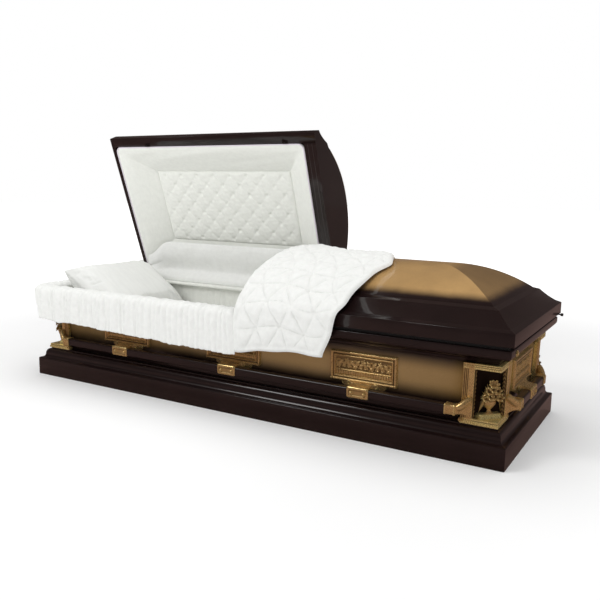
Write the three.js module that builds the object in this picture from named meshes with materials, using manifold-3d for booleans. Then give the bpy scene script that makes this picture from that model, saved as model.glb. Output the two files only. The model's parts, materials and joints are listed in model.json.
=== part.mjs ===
// A full-size steel funeral casket with a two-piece lid, in millimetres.
// X runs along the casket with its foot end at +X, -Y is the front and +Z is up.
// The origin is the centre of the underside. The head lid stands open.
import * as THREE from "three";
import { mergeVertices } from "three/addons/utils/BufferGeometryUtils.js";
import Module from "manifold-3d";

const wasm = await Module();
wasm.setup();

// Driving sizes of the steel shell
const lidLength = 2117;
const lidWidth = 729;
const sheet = 1.2;
const fit = 0.3;
const splitPlace = 91;
const splitGap = 3;
const openAngle = 70.5;

// Base moulding
const baseSetBack = 8.75;
const baseFace = 74;
const baseLedgeRun = 20.5;
const baseLedgeRise = 10;
const baseBeadRun = 19.5;
const baseBeadRise = 30;
const baseTopRise = 4.5;

// Body walls and rim, with insets taken from the lid's edge
const wallFootInset = 62;
const wallFlare = 5;
const bodyHeight = 377;
const rimSetBack = 9;
const rimBand = 26;
const rimCove = 33;
const rimFlange = 51;
const gasketHeight = 12.4;
const gasketWidth = 12;
const gasketInset = 20;

// Lid profile, with heights taken from the lid's rim
const lidFlange = 43;
const lowLedgeRun = 18;
const lowLedgeRise = 8;
const coveRun = 52;
const coveRise = 46;
const highLedgeRun = 22;
const highLedgeRise = 7;
const crownStep = 3;
const crownHeight = 202;
const crownPower = 2.15;
const ridgeHalf = 4;
const flangeSide = 44;
const flangeEnd = 24;
const splitFlange = 60;

// Linings, bedding and cloth
const liningThick = 12;
const liningFoot = 60;
const nicheDepth = 73;
const deckHeight = 120;
const deckWidth = 500;
const deckLength = 1800;
const mattressThick = 105;
const mattressGap = 10;
const panelMargin = 186;
const panelMarginHead = 201;
const panelDepth = 60;
const panelThick = 20;
const padThick = 22;
const apronThick = 9;
const apronCrest = 26;
const apronHang = 20;
const apronHemHead = 262;
const apronHemFoot = 240;
const apronRound = 52;
const apronInset = 50;
const clothGap = 4;
const throwThick = 9;
const throwLay = 1.5;
const throwFold = 56;
const throwHem = 252;
const throwHemFoot = 278;
const throwRear = 150;
const foldDrop = 41;
const foldThick = 12;
const flapThick = 12;
const flapSetBack = 58.5;
const flapRise = 198;
const pillowWidth = 545;
const pillowDepth = 322;
const pillowRise = 236;
const pillowLift = 6;
const pillowEndLift = 40;
const flapLap = 56;
const shoulderRun = 70;

// Fittings
const plateWidth = 248;
const plateHeight = 105;
const plateDrop = 21;
const plateThick = 12;
const plateField = 5;
const reliefHeight = 6;
const plateFromEnd = 511.5;
const plateMargin = 30;
const barSize = 30;
const barChamfer = 5;
const barReach = 37;
const barHeight = 167;
const clampWall = 3;
const clampWidth = 80;
const stubStart = 208;
const stubLength = 34;
const stubWall = 2;
const socketDepth = 20;
const cornerReach = 105;
const cornerThick = 15;
const postWidth = 37;
const bandHeight = 18;
const cornerLift = 1;
const foliageRise = 74;
const hingeRadius = 4.7;
const pinRadius = 2.4;
const hingeLength = 70;
const hingeLeaf = 1;
const leafWidth = 18;
const hingeInset = 62;
const hingeFromSplit = 200;
const finialRadius = 5.6;
const finialReach = 7;
const catchFromSplit = [145, 915];
const strapSpan = [60, 159];
const strapThick = 3;
const capInset = 76;
const capDrop = 17;
const capRadius = 10;

// Levels and lines worked out from the driving sizes
const halfLength = lidLength / 2;
const halfWidth = lidWidth / 2;
const mouldingTop = baseFace + baseLedgeRise + baseBeadRise + baseTopRise;
const lidRim = bodyHeight + gasketHeight + 2 * fit;
const rimFoot = bodyHeight - rimBand - rimCove;
const plateFoot = rimFoot - plateDrop - plateHeight;
const plateSpacing = halfLength - plateFromEnd;
const cornerFoot = mouldingTop + cornerLift;
const cornerTop = rimFoot;
const hingeAxis = { y: halfWidth - 1, z: (bodyHeight + lidRim) / 2 };
const headLidEnd = splitPlace;
const footLidStart = splitPlace + splitGap;

// How far the wall's outer face lies inside the lid's edge at a height: it leans out towards its top.
function wallInset(z) {
  return wallFootInset - (wallFlare * (z - mouldingTop)) / (rimFoot - mouldingTop);
}

const finishes = {
  paint: { color: 0x2b1b1a, roughness: 0.18, metalness: 0.35 },
  brass: { color: 0xa8813f, roughness: 0.35, metalness: 0.9 },
  white: { color: 0xececea, roughness: 0.85, metalness: 0 },
  lining: { color: 0xdee0d8, roughness: 0.85, metalness: 0 },
  rubber: { color: 0x151313, roughness: 0.8, metalness: 0 },
  steel: { color: 0x6d6a66, roughness: 0.5, metalness: 0.8 },
};

const casket = new THREE.Group();
const headLid = new THREE.Group();
const headLidShift = new THREE.Group();
headLid.position.set(0, hingeAxis.y, hingeAxis.z);
headLid.rotation.x = -THREE.MathUtils.degToRad(openAngle);
headLidShift.position.set(0, -hingeAxis.y, -hingeAxis.z);
headLid.add(headLidShift);
casket.add(headLid);

function add(name, geometry, finish, owner = casket) {
  const mesh = new THREE.Mesh(geometry, new THREE.MeshStandardMaterial(finishes[finish]));
  geometry.computeVertexNormals();
  mesh.name = name;
  owner.add(mesh);
}

// Geometry helpers

function at(x, y, z) {
  return new THREE.Vector3(x, y, z);
}

function bare(geometry) {
  const copy = geometry.clone();
  for (const name of ["normal", "uv"]) copy.deleteAttribute(name);
  return mergeVertices(copy, 1e-4);
}

// Turns every face of a closed geometry outwards.
function faceOut(geometry) {
  const p = geometry.attributes.position;
  const index = geometry.index.array;
  const [a, b, c] = [at(0, 0, 0), at(0, 0, 0), at(0, 0, 0)];
  let volume = 0;
  for (let i = 0; i < index.length; i += 3) {
    a.fromBufferAttribute(p, index[i]);
    b.fromBufferAttribute(p, index[i + 1]);
    c.fromBufferAttribute(p, index[i + 2]);
    volume += a.dot(b.cross(c));
  }
  if (volume < 0) {
    for (let i = 0; i < index.length; i += 3) [index[i + 1], index[i + 2]] = [index[i + 2], index[i + 1]];
  }
  return geometry;
}

// Triangles that fill a flat ring of points, wound as the ring is.
function fill(ring) {
  const normal = at(0, 0, 0);
  ring.forEach((p, i) => normal.add(p.clone().cross(ring[(i + 1) % ring.length])));
  const sizes = normal.toArray().map(Math.abs);
  const drop = sizes.indexOf(Math.max(...sizes));
  const axes = [0, 1, 2].filter((axis) => axis !== drop);
  const flat = ring.map((p) => new THREE.Vector2(...axes.map((axis) => p.getComponent(axis))));
  const area = (list) => THREE.ShapeUtils.area(list);
  const way = Math.sign(area(flat));
  return THREE.ShapeUtils.triangulateShape(flat, []).map(([i, j, k]) =>
    Math.sign(area([flat[i], flat[j], flat[k]])) === way ? [i, j, k] : [i, k, j],
  );
}

// A solid through rings of equally many points, closed into a loop or filled at both ends.
function loft(rings, loop = false) {
  const n = rings[0].length;
  const index = [];
  const bands = loop ? rings.length : rings.length - 1;
  for (let i = 0; i < bands; i++) {
    const near = i * n;
    const far = ((i + 1) % rings.length) * n;
    for (let j = 0; j < n; j++) {
      const k = (j + 1) % n;
      index.push(near + j, near + k, far + k, near + j, far + k, far + j);
    }
  }
  if (!loop) {
    const last = (rings.length - 1) * n;
    fill(rings[0]).forEach(([i, j, k]) => index.push(k, j, i));
    fill(rings.at(-1)).forEach(([i, j, k]) => index.push(last + i, last + j, last + k));
  }
  const geometry = new THREE.BufferGeometry();
  const numbers = rings.flat().flatMap((p) => p.toArray());
  geometry.setAttribute("position", new THREE.Float32BufferAttribute(numbers, 3));
  geometry.setIndex(index);
  const merged = mergeVertices(geometry, 1e-4);
  const kept = [];
  for (let i = 0; i < index.length; i += 3) {
    const [a, b, c] = merged.index.array.slice(i, i + 3);
    if (a !== b && b !== c && c !== a) kept.push(a, b, c);
  }
  merged.setIndex(kept);
  return faceOut(merged);
}

function prism(outline, low, high) {
  return loft([low, high].map((z) => outline.map(([x, y]) => at(x, y, z))));
}

function block(x0, x1, y0, y1, z0, z1) {
  const box = new THREE.BoxGeometry(x1 - x0, y1 - y0, z1 - z0);
  return bare(box.translate((x0 + x1) / 2, (y0 + y1) / 2, (z0 + z1) / 2));
}

// A round bar between two points.
function rod(from, to, radius, sides = 10) {
  const way = to.clone().sub(from);
  const turn = new THREE.Quaternion().setFromUnitVectors(at(0, 1, 0), way.clone().normalize());
  const middle = from.clone().add(to).multiplyScalar(0.5);
  return bare(new THREE.CylinderGeometry(radius, radius, way.length(), sides).applyQuaternion(turn)
    .translate(...middle.toArray()));
}

function moved(geometry, place) {
  const copy = geometry.clone();
  const p = copy.attributes.position;
  for (let i = 0; i < p.count; i++) {
    const to = place(p.getX(i), p.getY(i), p.getZ(i));
    p.setXYZ(i, to.x, to.y, to.z);
  }
  return faceOut(copy);
}

function solid(geometry) {
  return new wasm.Manifold(
    new wasm.Mesh({
      numProp: 3,
      vertProperties: new Float32Array(geometry.attributes.position.array),
      triVerts: new Uint32Array(geometry.index.array),
    }),
  );
}

function shapeOf(body) {
  const mesh = body.getMesh();
  const geometry = new THREE.BufferGeometry();
  geometry.setAttribute("position", new THREE.Float32BufferAttribute(mesh.vertProperties, 3));
  geometry.setIndex(new THREE.Uint32BufferAttribute(mesh.triVerts, 1));
  return faceOut(geometry);
}

function join(...shapes) {
  return shapeOf(shapes.map(solid).reduce((sum, next) => sum.add(next)));
}

function cut(shape, ...tools) {
  return shapeOf(tools.map(solid).reduce((rest, tool) => rest.subtract(tool), solid(shape)));
}

function meet(shape, tool) {
  return shapeOf(solid(shape).intersect(solid(tool)));
}

// A line of [inset, height] points shifted sideways by a distance, mitred at its bends.
function shifted(line, distance) {
  return line.map((p, i) => {
    const before = line[Math.max(i - 1, 0)];
    const after = line[Math.min(i + 1, line.length - 1)];
    const normals = [[before, p], [p, after]]
      .filter(([a, b]) => a !== b)
      .map(([a, b]) => new THREE.Vector2(a[1] - b[1], b[0] - a[0]).normalize());
    const sum = normals.reduce((total, n) => total.clone().add(n)).normalize();
    const reach = distance / sum.dot(normals[0]);
    return [p[0] + sum.x * reach, p[1] + sum.y * reach];
  });
}

// A closed outline of a sheet that follows a line.
function sheetOutline(line, thickness) {
  return [...line, ...shifted(line, thickness).reverse()];
}

// Points on a curve that leaves the first point towards the middle one and ends at the last.
function curve(from, towards, to, steps) {
  const path = new THREE.QuadraticBezierCurve(
    new THREE.Vector2(...from), new THREE.Vector2(...towards), new THREE.Vector2(...to));
  return path.getPoints(steps).map((p) => [p.x, p.y]);
}

// The four sides: each turns a place along the side, an inset from the lid's edge and a height into a point.
const sides = {
  front: (s, inset, z) => at(s, inset - halfWidth, z),
  rear: (s, inset, z) => at(-s, halfWidth - inset, z),
  foot: (s, inset, z) => at(halfLength - inset, s, z),
  head: (s, inset, z) => at(inset - halfLength, -s, z),
};
const halfSpan = { front: halfLength, rear: halfLength, foot: halfWidth, head: halfWidth };
const mitreGap = fit / Math.SQRT2;

// A closed outline of [inset, height] points carried along one side and mitred at both corners.
function mitred(outline, side) {
  const ring = (way) => outline.map(([inset, z]) =>
    sides[side](way * (halfSpan[side] - inset - mitreGap), inset, z));
  return loft([ring(-1), ring(1)]);
}

// A rectangle of four points around the casket at an inset and a height.
function rectangle(inset, z, insetEnd = inset) {
  const x = halfLength - insetEnd;
  const y = halfWidth - inset;
  return [at(-x, -y, z), at(x, -y, z), at(x, y, z), at(-x, y, z)];
}

// Base moulding, wall and rim of each side

const baseLine = [
  [baseSetBack, 0],
  [baseSetBack, baseFace],
  [baseSetBack + 6, baseFace + 1],
  ...curve(
    [baseSetBack + 14, baseFace + 3],
    [baseSetBack + baseLedgeRun, baseFace + 4],
    [baseSetBack + baseLedgeRun, baseFace + baseLedgeRise], 2),
  ...curve(
    [baseSetBack + baseLedgeRun + 1, baseFace + baseLedgeRise + 5],
    [baseSetBack + baseLedgeRun + 2, baseFace + baseLedgeRise + baseBeadRise],
    [baseSetBack + baseLedgeRun + baseBeadRun, baseFace + baseLedgeRise + baseBeadRise], 4),
  [baseSetBack + baseLedgeRun + baseBeadRun, mouldingTop],
  [wallInset(mouldingTop) - fit, mouldingTop],
];

const panTop = sheet;
const wallLine = [
  [wallInset(panTop) + 30, panTop + fit],
  [wallInset(panTop), panTop + fit],
  [wallInset(bodyHeight), bodyHeight - sheet - fit],
];

const rimLine = [
  [wallInset(rimFoot) - fit - sheet, rimFoot + fit],
  ...curve(
    [wallInset(rimFoot) - 4, rimFoot + 9],
    [wallInset(rimFoot) - 10, rimFoot + rimCove * 0.8],
    [rimSetBack + 6, rimFoot + rimCove * 0.9], 4),
  [rimSetBack, rimFoot + rimCove + 5],
  [rimSetBack, bodyHeight - 6],
  [rimSetBack + 1.8, bodyHeight - 1.8],
  [rimSetBack + 6, bodyHeight],
  [rimSetBack + rimFlange, bodyHeight],
];

// The corner niches go through the walls where the castings fill them.
function nicheCut() {
  const reach = nicheDepth + 2 * fit;
  const outline = [[-reach, -cornerThick], [-reach, 40], [40, 40], [40, -reach], [-cornerThick, -reach]];
  return prism(outline, cornerFoot - fit, cornerTop + fit);
}

// The four corners: each turns outward distances from the end wall and the side wall into a point.
const corners = {
  front_foot: [1, -1],
  front_head: [-1, -1],
  rear_foot: [1, 1],
  rear_head: [-1, 1],
};

function atCorner(name) {
  const [alongX, alongY] = corners[name];
  return (p, q, z) =>
    at(alongX * (halfLength - wallInset(z) + p), alongY * (halfWidth - wallInset(z) + q), z);
}

const cornerCuts = Object.keys(corners).map((name) => moved(nicheCut(), atCorner(name)));

for (const side of Object.keys(sides)) {
  add(`base_moulding_${side}`, mitred(sheetOutline(baseLine, -sheet), side), "paint");
  const wall = mitred(sheetOutline(wallLine, -sheet), side);
  add(`body_wall_${side}`, cut(wall, ...cornerCuts), "paint");
  add(`body_rim_${side}`, mitred(sheetOutline(rimLine, -sheet), side), "paint");
}

const panInset = baseSetBack + sheet + fit;
add("bottom_pan", loft([rectangle(panInset, 0), rectangle(panInset, panTop)]), "paint");

// The rubber seal lies on the rim's flange.
function frameRing(insetOut, insetIn, low, high) {
  const outer = rectangle(insetOut, 0);
  const inner = rectangle(insetIn, 0);
  const rings = outer.map((p, i) => [
    at(p.x, p.y, low), at(p.x, p.y, high), at(inner[i].x, inner[i].y, high), at(inner[i].x, inner[i].y, low),
  ]);
  return loft(rings, true);
}
add("gasket", frameRing(gasketInset, gasketInset + gasketWidth,
  bodyHeight + fit, bodyHeight + fit + gasketHeight), "rubber");

// Linings and bedding inside the body

// Eight points around the inside at an outward distance from the walls, with its corners cut off.
function eightCorners(p, cornerSum, z) {
  return Object.entries({ front_head: 0, front_foot: 1, rear_foot: 0, rear_head: 1 }).flatMap(([name, swap]) => {
    const place = atCorner(name);
    const pair = [place(p, cornerSum - p, z), place(cornerSum - p, p, z)];
    return swap ? pair.reverse() : pair;
  });
}

const liningBack = -sheet - fit;
const liningFace = liningBack - liningThick;
const liningCorner = -nicheDepth - 2;
const liningCornerFace = liningCorner - liningThick * Math.SQRT2;
const liningTop = bodyHeight - sheet - fit;

function bodyLining() {
  const rings = [
    eightCorners(liningBack, liningCorner, liningFoot),
    eightCorners(liningBack, liningCorner, liningTop),
    eightCorners(liningFace, liningCornerFace, liningTop - 3),
    eightCorners(liningFace, liningCornerFace, liningFoot),
  ];
  const around = rings[0].map((_, i) => rings.map((ring) => ring[i]));
  return loft(around, true);
}
add("body_lining", bodyLining(), "lining");

function deck() {
  const foot = panTop + sheet + 2 * fit;
  const [x, y] = [deckLength / 2, deckWidth / 2];
  const top = block(-x, x, -y, y, deckHeight - sheet, deckHeight);
  const leg = (way) => block(-x, x, Math.min(way * y, way * (y - sheet)), Math.max(way * y, way * (y - sheet)),
    foot, deckHeight);
  return join(top, leg(-1), leg(1));
}
add("bed_deck", deck(), "steel");

function softSlab(ringAt, low, high, round) {
  return loft([ringAt(round, low), ringAt(0, low + round), ringAt(0, high - round), ringAt(round, high)]);
}

const mattressTop = deckHeight + fit + mattressThick;
const mattressRing = (inset, z) =>
  eightCorners(liningFace - mattressGap - inset, liningCornerFace - 2 * mattressGap - inset, z);
add("mattress", softSlab(mattressRing, deckHeight + fit, mattressTop, 18), "white");

// The pillow leans on the head end: its section is carried across the width and shrinks at both ends.
function pillow() {
  const headFace = -halfLength + wallInset(mattressTop) - liningFace + 4;
  const foot = mattressTop + pillowLift;
  const section = [
    [0, 0.06], [0.87, 0.017], [1, 0.093], [0.932, 0.22], [0.559, 0.678],
    [0.311, 0.915], [0.124, 1], [0, 0.958], [-0.028, 0.805], [-0.012, 0.466],
  ].map(([x, z]) => [x * pillowDepth, z * pillowRise]);
  const middle = 0.466 * pillowDepth;
  const stations = [[1, 0.3], [0.97, 0.62], [0.88, 0.86], [0.7, 1]];
  const both = [...stations.map(([s, k]) => [-s, k]), ...stations.reverse().map(([s, k]) => [s, k])];
  return loft(both.map(([s, k]) => section.map(([x, z]) => at(
    headFace + middle + (x - middle) * (0.25 + 0.75 * k),
    (s * pillowWidth) / 2,
    foot + z * k + pillowEndLift * (1 - k),
  ))));
}
add("pillow", pillow(), "white");

// The lid

// Outer line of the lid from the inner edge of its flange to the ridge, as [inset, height].
function lidLine() {
  const lowLedge = [lowLedgeRun, lidRim + lidFlange + lowLedgeRise];
  const highLedge = [lowLedge[0] + coveRun, lowLedge[1] + coveRise];
  const crown = [highLedge[0] + highLedgeRun, highLedge[1] + highLedgeRise];
  const top = lidRim + crownHeight;
  const crownStart = [crown[0] + crownStep, crown[1] + crownStep];
  const steps = 8;
  const crownLine = Array.from({ length: steps + 1 }, (_, i) => {
    const share = (i / steps) ** 1.2;
    const inset = crownStart[0] + share * (halfWidth - ridgeHalf - crownStart[0]);
    return [inset, top - (top - crownStart[1]) * (1 - share) ** crownPower];
  });
  return [
    [0, lidRim],
    [0, lidRim + lidFlange],
    ...curve(lowLedge, [lowLedge[0] + coveRun * 0.55, lowLedge[1] + coveRise * 0.42], highLedge, 4),
    crown,
    ...crownLine,
  ];
}
const lidOuter = lidLine();

// The whole pressed lid: rings up the inside and down the outside, with a flange turned in at the rim.
function lidShell() {
  const inner = shifted([[flangeSide, lidRim], ...lidOuter], -sheet).slice(1);
  inner[0] = [sheet, lidRim + sheet];
  const ring = ([inset, z]) => rectangle(inset, z);
  return loft([
    ...inner.slice().reverse().map(ring),
    rectangle(flangeSide, lidRim + sheet, flangeEnd),
    rectangle(flangeSide, lidRim, flangeEnd),
    ...lidOuter.map(ring),
  ]);
}
const wholeLid = lidShell();
const beyond = 50;
function lidPart(from, to) {
  return meet(wholeLid, block(from, to, -halfWidth - beyond, halfWidth + beyond,
    lidRim - beyond, lidRim + crownHeight + beyond));
}

// Points of the lid's section, front to rear, as [y, z], shifted inwards or outwards.
function section(distance, low) {
  const half = shifted(lidOuter, -distance).map(([inset, z]) => [inset - halfWidth, z]);
  half[0] = [half[0][0], low];
  return [...half, ...half.slice().reverse().map(([y, z]) => [-y, z])];
}

function acrossX(outline, from, to) {
  return loft([from, to].map((x) => outline.map(([y, z]) => at(x, y, z))));
}

// The plate that closes the lid where it is split, with the strip that borders the lining.
function header(face, way) {
  const plate = acrossX(section(sheet + fit, lidRim + sheet + fit), face, face + way * sheet);
  const y = halfWidth - flangeSide - fit;
  const strip = [face, face + way * splitFlange].sort((a, b) => a - b);
  return join(plate, block(...strip, -y, y, lidRim, lidRim + sheet + 2 * fit));
}

// Rectangles around a lid's lining: the opening at the rim and the raised panel deep in the lid.
function corner4(x0, x1, y0, y1) {
  return [[x0, y0], [x1, y0], [x1, y1], [x0, y1]];
}
const openingY = halfWidth - flangeSide - fit;
const headOpening = corner4(-halfLength + flangeEnd + fit, headLidEnd - splitFlange - fit, -openingY, openingY);
const headPanel = corner4(-halfLength + panelMarginHead, headLidEnd - panelMargin,
  -halfWidth + panelMargin, halfWidth - panelMargin);

// The puffed frame around the tufted panel: its profile runs from the opening to the panel.
function lidSurround() {
  const deep = panelDepth;
  const profile = [
    [0, 0], [0.04, 0], [0.3, deep * 0.2], [0.65, deep * 0.58], [1, deep * 0.97],
    [1, deep + panelThick * 0.4], [0.5, deep * 0.62 + panelThick * 0.5], [0, panelThick * 0.6],
  ];
  return loft(headOpening.map(([x, y], i) => profile.map(([share, depth]) => at(
    THREE.MathUtils.lerp(x, headPanel[i][0], share),
    THREE.MathUtils.lerp(y, headPanel[i][1], share),
    lidRim + depth,
  ))), true);
}

function slabRing([a, , c]) {
  return (inset, z) => [
    at(a[0] + inset, a[1] + inset, z), at(c[0] - inset, a[1] + inset, z),
    at(c[0] - inset, c[1] - inset, z), at(a[0] + inset, c[1] - inset, z),
  ];
}

const panelLow = lidRim + panelDepth + panelThick * 0.4 + fit;
add("head_lid_shell", lidPart(-halfLength - beyond, headLidEnd), "paint", headLidShift);
add("head_lid_header", header(headLidEnd, -1), "paint", headLidShift);
add("head_lid_surround", lidSurround(), "lining", headLidShift);
add("head_lid_tufted_panel", softSlab(slabRing(headPanel), panelLow, panelLow + panelThick, 6),
  "lining", headLidShift);

const footOpening = corner4(footLidStart + splitFlange + fit, halfLength - flangeEnd - fit, -openingY, openingY);
add("foot_lid_shell", lidPart(footLidStart, halfLength + beyond), "paint");
add("foot_lid_header", header(footLidStart, 1), "paint");
add("foot_lid_lining", softSlab(slabRing(footOpening), lidRim, lidRim + padThick, 6), "lining");

// Catches under the head lid's front flange, and the strap on its end

function lidCatch(x) {
  const top = lidRim - fit;
  const y = -halfWidth + gasketInset + gasketWidth + 1;
  const plate = block(x - 14, x + 14, y, y + 10, top - 2, top);
  const hook = block(x - 5, x + 5, y + 2, y + 8, top - 9, top);
  return join(plate, hook);
}
for (const [i, name] of ["lid_catch_middle", "lid_catch_head"].entries()) {
  add(name, lidCatch(headLidEnd - catchFromSplit[i]), "steel", headLidShift);
}

function lidStrap() {
  const [near, far] = strapSpan;
  const plate = loft([0, strapThick].map((t) => [
    [halfWidth - near, lidRim + 4], [halfWidth - near, lidRim + 24],
    [halfWidth - near - 12, lidRim + 30], [halfWidth - far, lidRim + 26], [halfWidth - far, lidRim + 8],
  ].map(([y, z]) => at(-halfLength - fit - t, y, z))));
  const rivet = (y) => {
    const face = -halfLength - fit - strapThick;
    return rod(at(face + 1, y, lidRim + 16), at(face - 1.5, y, lidRim + 16), 4, 8);
  };
  return join(plate, rivet(halfWidth - near - 14), rivet(halfWidth - far + 14));
}
add("lid_strap", lidStrap(), "brass", headLidShift);

function lockCap() {
  const x = halfLength - rimSetBack + fit;
  const [y, z] = [-halfWidth + capInset, bodyHeight - capDrop];
  const disc = (from, to, radius) => rod(at(x + from, y, z), at(x + to, y, z), radius, 12);
  return join(disc(0, 2.5, capRadius), disc(2, 5, capRadius * 0.65));
}
add("lock_cap", lockCap(), "brass");

// Hinges: each has a body leaf with two knuckles and the pin, and a lid leaf with the middle knuckle.

function knuckle(x0, x1, way) {
  const { y, z } = hingeAxis;
  const barrel = rod(at(x0, y, z), at(x1, y, z), hingeRadius, 8);
  const leafFace = way < 0 ? bodyHeight + fit : lidRim - fit;
  const low = Math.min(leafFace, z + way * hingeRadius * 0.4);
  const high = Math.max(leafFace, z + way * hingeRadius * 0.4);
  return join(barrel, block(x0, x1, y - hingeRadius * 0.8, y + hingeRadius * 0.3, low, high));
}

function hinge(name, x, tail, owner) {
  const { y, z } = hingeAxis;
  const [x0, x1] = [x - hingeLength / 2, x + hingeLength / 2];
  const third = hingeLength / 3;
  const leafY = [y - leafWidth, y + hingeRadius * 0.3];
  const lowFace = bodyHeight + fit;
  const highFace = lidRim - fit;
  const parts = [
    block(x0, x1, ...leafY, lowFace, lowFace + hingeLeaf),
    knuckle(x0, x0 + third - fit, -1),
    knuckle(x1 - third + fit, x1, -1),
    rod(at(x0 + 1, y, z), at(x1 - 1, y, z), pinRadius, 8),
  ];
  if (tail) {
    const end = tail * (halfLength + finialReach);
    parts.push(rod(at(tail > 0 ? x1 - 2 : x0 + 2, y, z), at(end, y, z), pinRadius, 8));
    parts.push(rod(at(end - tail * 7, y, z), at(end + tail * 2, y, z), finialRadius, 8));
  }
  add(`${name}_body_leaf`, join(...parts), "steel");
  const leaf = block(x0, x1, ...leafY, highFace - hingeLeaf, highFace);
  const bore = rod(at(x0, y, z), at(x1, y, z), pinRadius + fit, 10);
  add(`${name}_lid_leaf`, cut(join(leaf, knuckle(x0 + third, x1 - third, 1)), bore), "steel", owner);
}
hinge("hinge_head_outer", -halfLength + hingeInset, -1, headLidShift);
hinge("hinge_head_inner", headLidEnd - hingeFromSplit, 0, headLidShift);
hinge("hinge_foot_inner", footLidStart + hingeFromSplit, 0, casket);
hinge("hinge_foot_outer", halfLength - hingeInset, 1, casket);

// Cloth over the rim, the lid and the hinge line

// The shirred apron: a band over the front and head rims, with a rounded corner.
function apron() {
  const crest = bodyHeight + apronCrest;
  const under = lidRim + 1.2;
  const out = -apronHang;
  const outline = (hem) => [
    [apronInset, bodyHeight + 1.5], [apronInset, crest - 5], [apronInset - 10, crest], [12, crest],
    [-8, crest - 4], [out + 2, crest - 16], [out, bodyHeight - 40], [out + 1, hem],
    [out + apronThick, hem], [out + apronThick, bodyHeight - 10], [-1, under - 3], [14, under],
    [apronInset - 9, under], [apronInset - 9, bodyHeight + 1.5],
  ];
  const end = throwFold - clothGap;
  const stations = [
    (inset, z) => at(end, inset - halfWidth, z),
    ...[0, 1, 2, 3, 4].map((i) => (inset, z) => {
      const angle = -Math.PI / 2 - (i / 4) * (Math.PI / 2);
      const r = apronRound - inset;
      return at(-halfLength + apronRound + r * Math.cos(angle), -halfWidth + apronRound + r * Math.sin(angle), z);
    }),
    (inset, z) => at(inset - halfLength, halfWidth - gasketInset - gasketWidth - clothGap, z),
  ];
  return loft(stations.map((place, i) => {
    const hem = i === 0 ? apronHemFoot : apronHemHead;
    return outline(hem).map(([inset, z]) => place(inset, z));
  }));
}
add("apron", apron(), "white");

// A point of the closed head lid, given by its distance from the hinge edge and its depth into the lid,
// where it stands with the lid open.
function onOpenLid(up, depth) {
  const p = new THREE.Vector2(halfWidth - up - hingeAxis.y, lidRim + depth - hingeAxis.z);
  p.rotateAround(new THREE.Vector2(), -THREE.MathUtils.degToRad(openAngle));
  return [p.x + hingeAxis.y, p.y + hingeAxis.z];
}

// The flap runs from the rear lining up over the hinge line and onto the open lid's lining.
function rearFlap() {
  const start = halfWidth - rimSetBack - rimFlange - clothGap;
  const outline = (rise) => [
    [start, bodyHeight + clothGap], [start + 10, bodyHeight + 24], onOpenLid(flapLap, -10),
    onOpenLid(rise * 0.55, -10), onOpenLid(rise * 0.8, -8), onOpenLid(rise, -2),
  ];
  const ring = (x, rise) =>
    sheetOutline(outline(rise), flapThick).map(([y, z]) => at(x, y, z));
  const head = -halfLength + flapSetBack;
  return loft([
    ring(head, flapRise * 0.55), ring(head + 60, flapRise * 0.83), ring(head + 160, flapRise),
    ring(throwFold - clothGap, flapRise),
  ]);
}
add("rear_flap", rearFlap(), "lining");

// The throw's foot edge: its reach along X where it crosses the hem, the flange, the ledge and the crown.
const throwEdge = { hem: 424, flange: 486, ledge: 528, shoulder: 552, rear: 444 };

// The quilted throw lies over the foot lid, hangs down its front and folds in at the split.
function quiltedThrow() {
  const under = section(-throwLay, throwHemFoot);
  const over = section(-throwLay - throwThick, throwHemFoot);
  const rearY = halfWidth - throwRear;
  const flangeZ = lidRim + 9;
  const ledgeRun = lowLedgeRun + coveRun + highLedgeRun;
  const ledgeZ = lidRim + lidFlange + lowLedgeRise + coveRise + highLedgeRise;
  const shoulderY = ledgeRun + shoulderRun - halfWidth;
  const edgeAt = ([y, z]) => {
    const between = THREE.MathUtils.mapLinear;
    if (y > shoulderY) return between(y, shoulderY, rearY, throwEdge.shoulder, throwEdge.rear);
    if (y > ledgeRun - halfWidth) {
      return between(y, ledgeRun - halfWidth, shoulderY, throwEdge.ledge, throwEdge.shoulder);
    }
    if (z > flangeZ) return between(z, flangeZ, ledgeZ, throwEdge.flange, throwEdge.ledge);
    return between(z, throwHemFoot, flangeZ, throwEdge.hem, throwEdge.flange);
  };
  const rings = over.map((_, i) => i).filter((i) => over[i][0] < rearY).map((i) => {
    const hem = i === 0 ? throwHem - throwHemFoot : 0;
    const edge = edgeAt(over[i]);
    return [
      at(throwFold, over[i][0], over[i][1] + hem), at(edge, ...over[i]),
      at(edge, ...under[i]), at(throwFold, under[i][0], under[i][1] + hem),
    ];
  });
  const low = lidRim + throwLay;
  const foot = bodyHeight - foldDrop;
  const half = halfWidth - wallInset(foot) + liningFace - 4 * clothGap;
  const inside = section(-throwLay - throwThick * 0.5, low).filter(([y]) => y < rearY);
  const fold = [...inside, [rearY, low], [rearY, foot], [-half, foot], [-half, low]];
  return join(loft(rings), acrossX(fold, throwFold + 2, throwFold + 2 + foldThick));
}
add("quilted_throw", quiltedThrow(), "white");

// Bars, their brackets with relief plates, and the corner castings

// A square with cut corners around the bar's line, as [outward distance, height].
function barSection(size) {
  const h = size / 2;
  const k = h - barChamfer;
  return [[-h, -k], [-k, -h], [k, -h], [h, -k], [h, k], [k, h], [-k, h], [-h, k]]
    .map(([t, z]) => [barReach + t, barHeight + z]);
}

// A length of the bar of one side, or of the hole that takes it. The bar is straight and upright.
function alongBar(side, from, to, room = 0) {
  const ring = (s) => barSection(barSize + 2 * room)
    .map(([t, z]) => sides[side](s, wallInset(barHeight) - t, z));
  return loft([ring(from), ring(to)]);
}

function bar(side) {
  const half = halfSpan[side] - stubStart + socketDepth - fit;
  add(`bar_${side}`, alongBar(side, -half, half), "paint");
}

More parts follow.
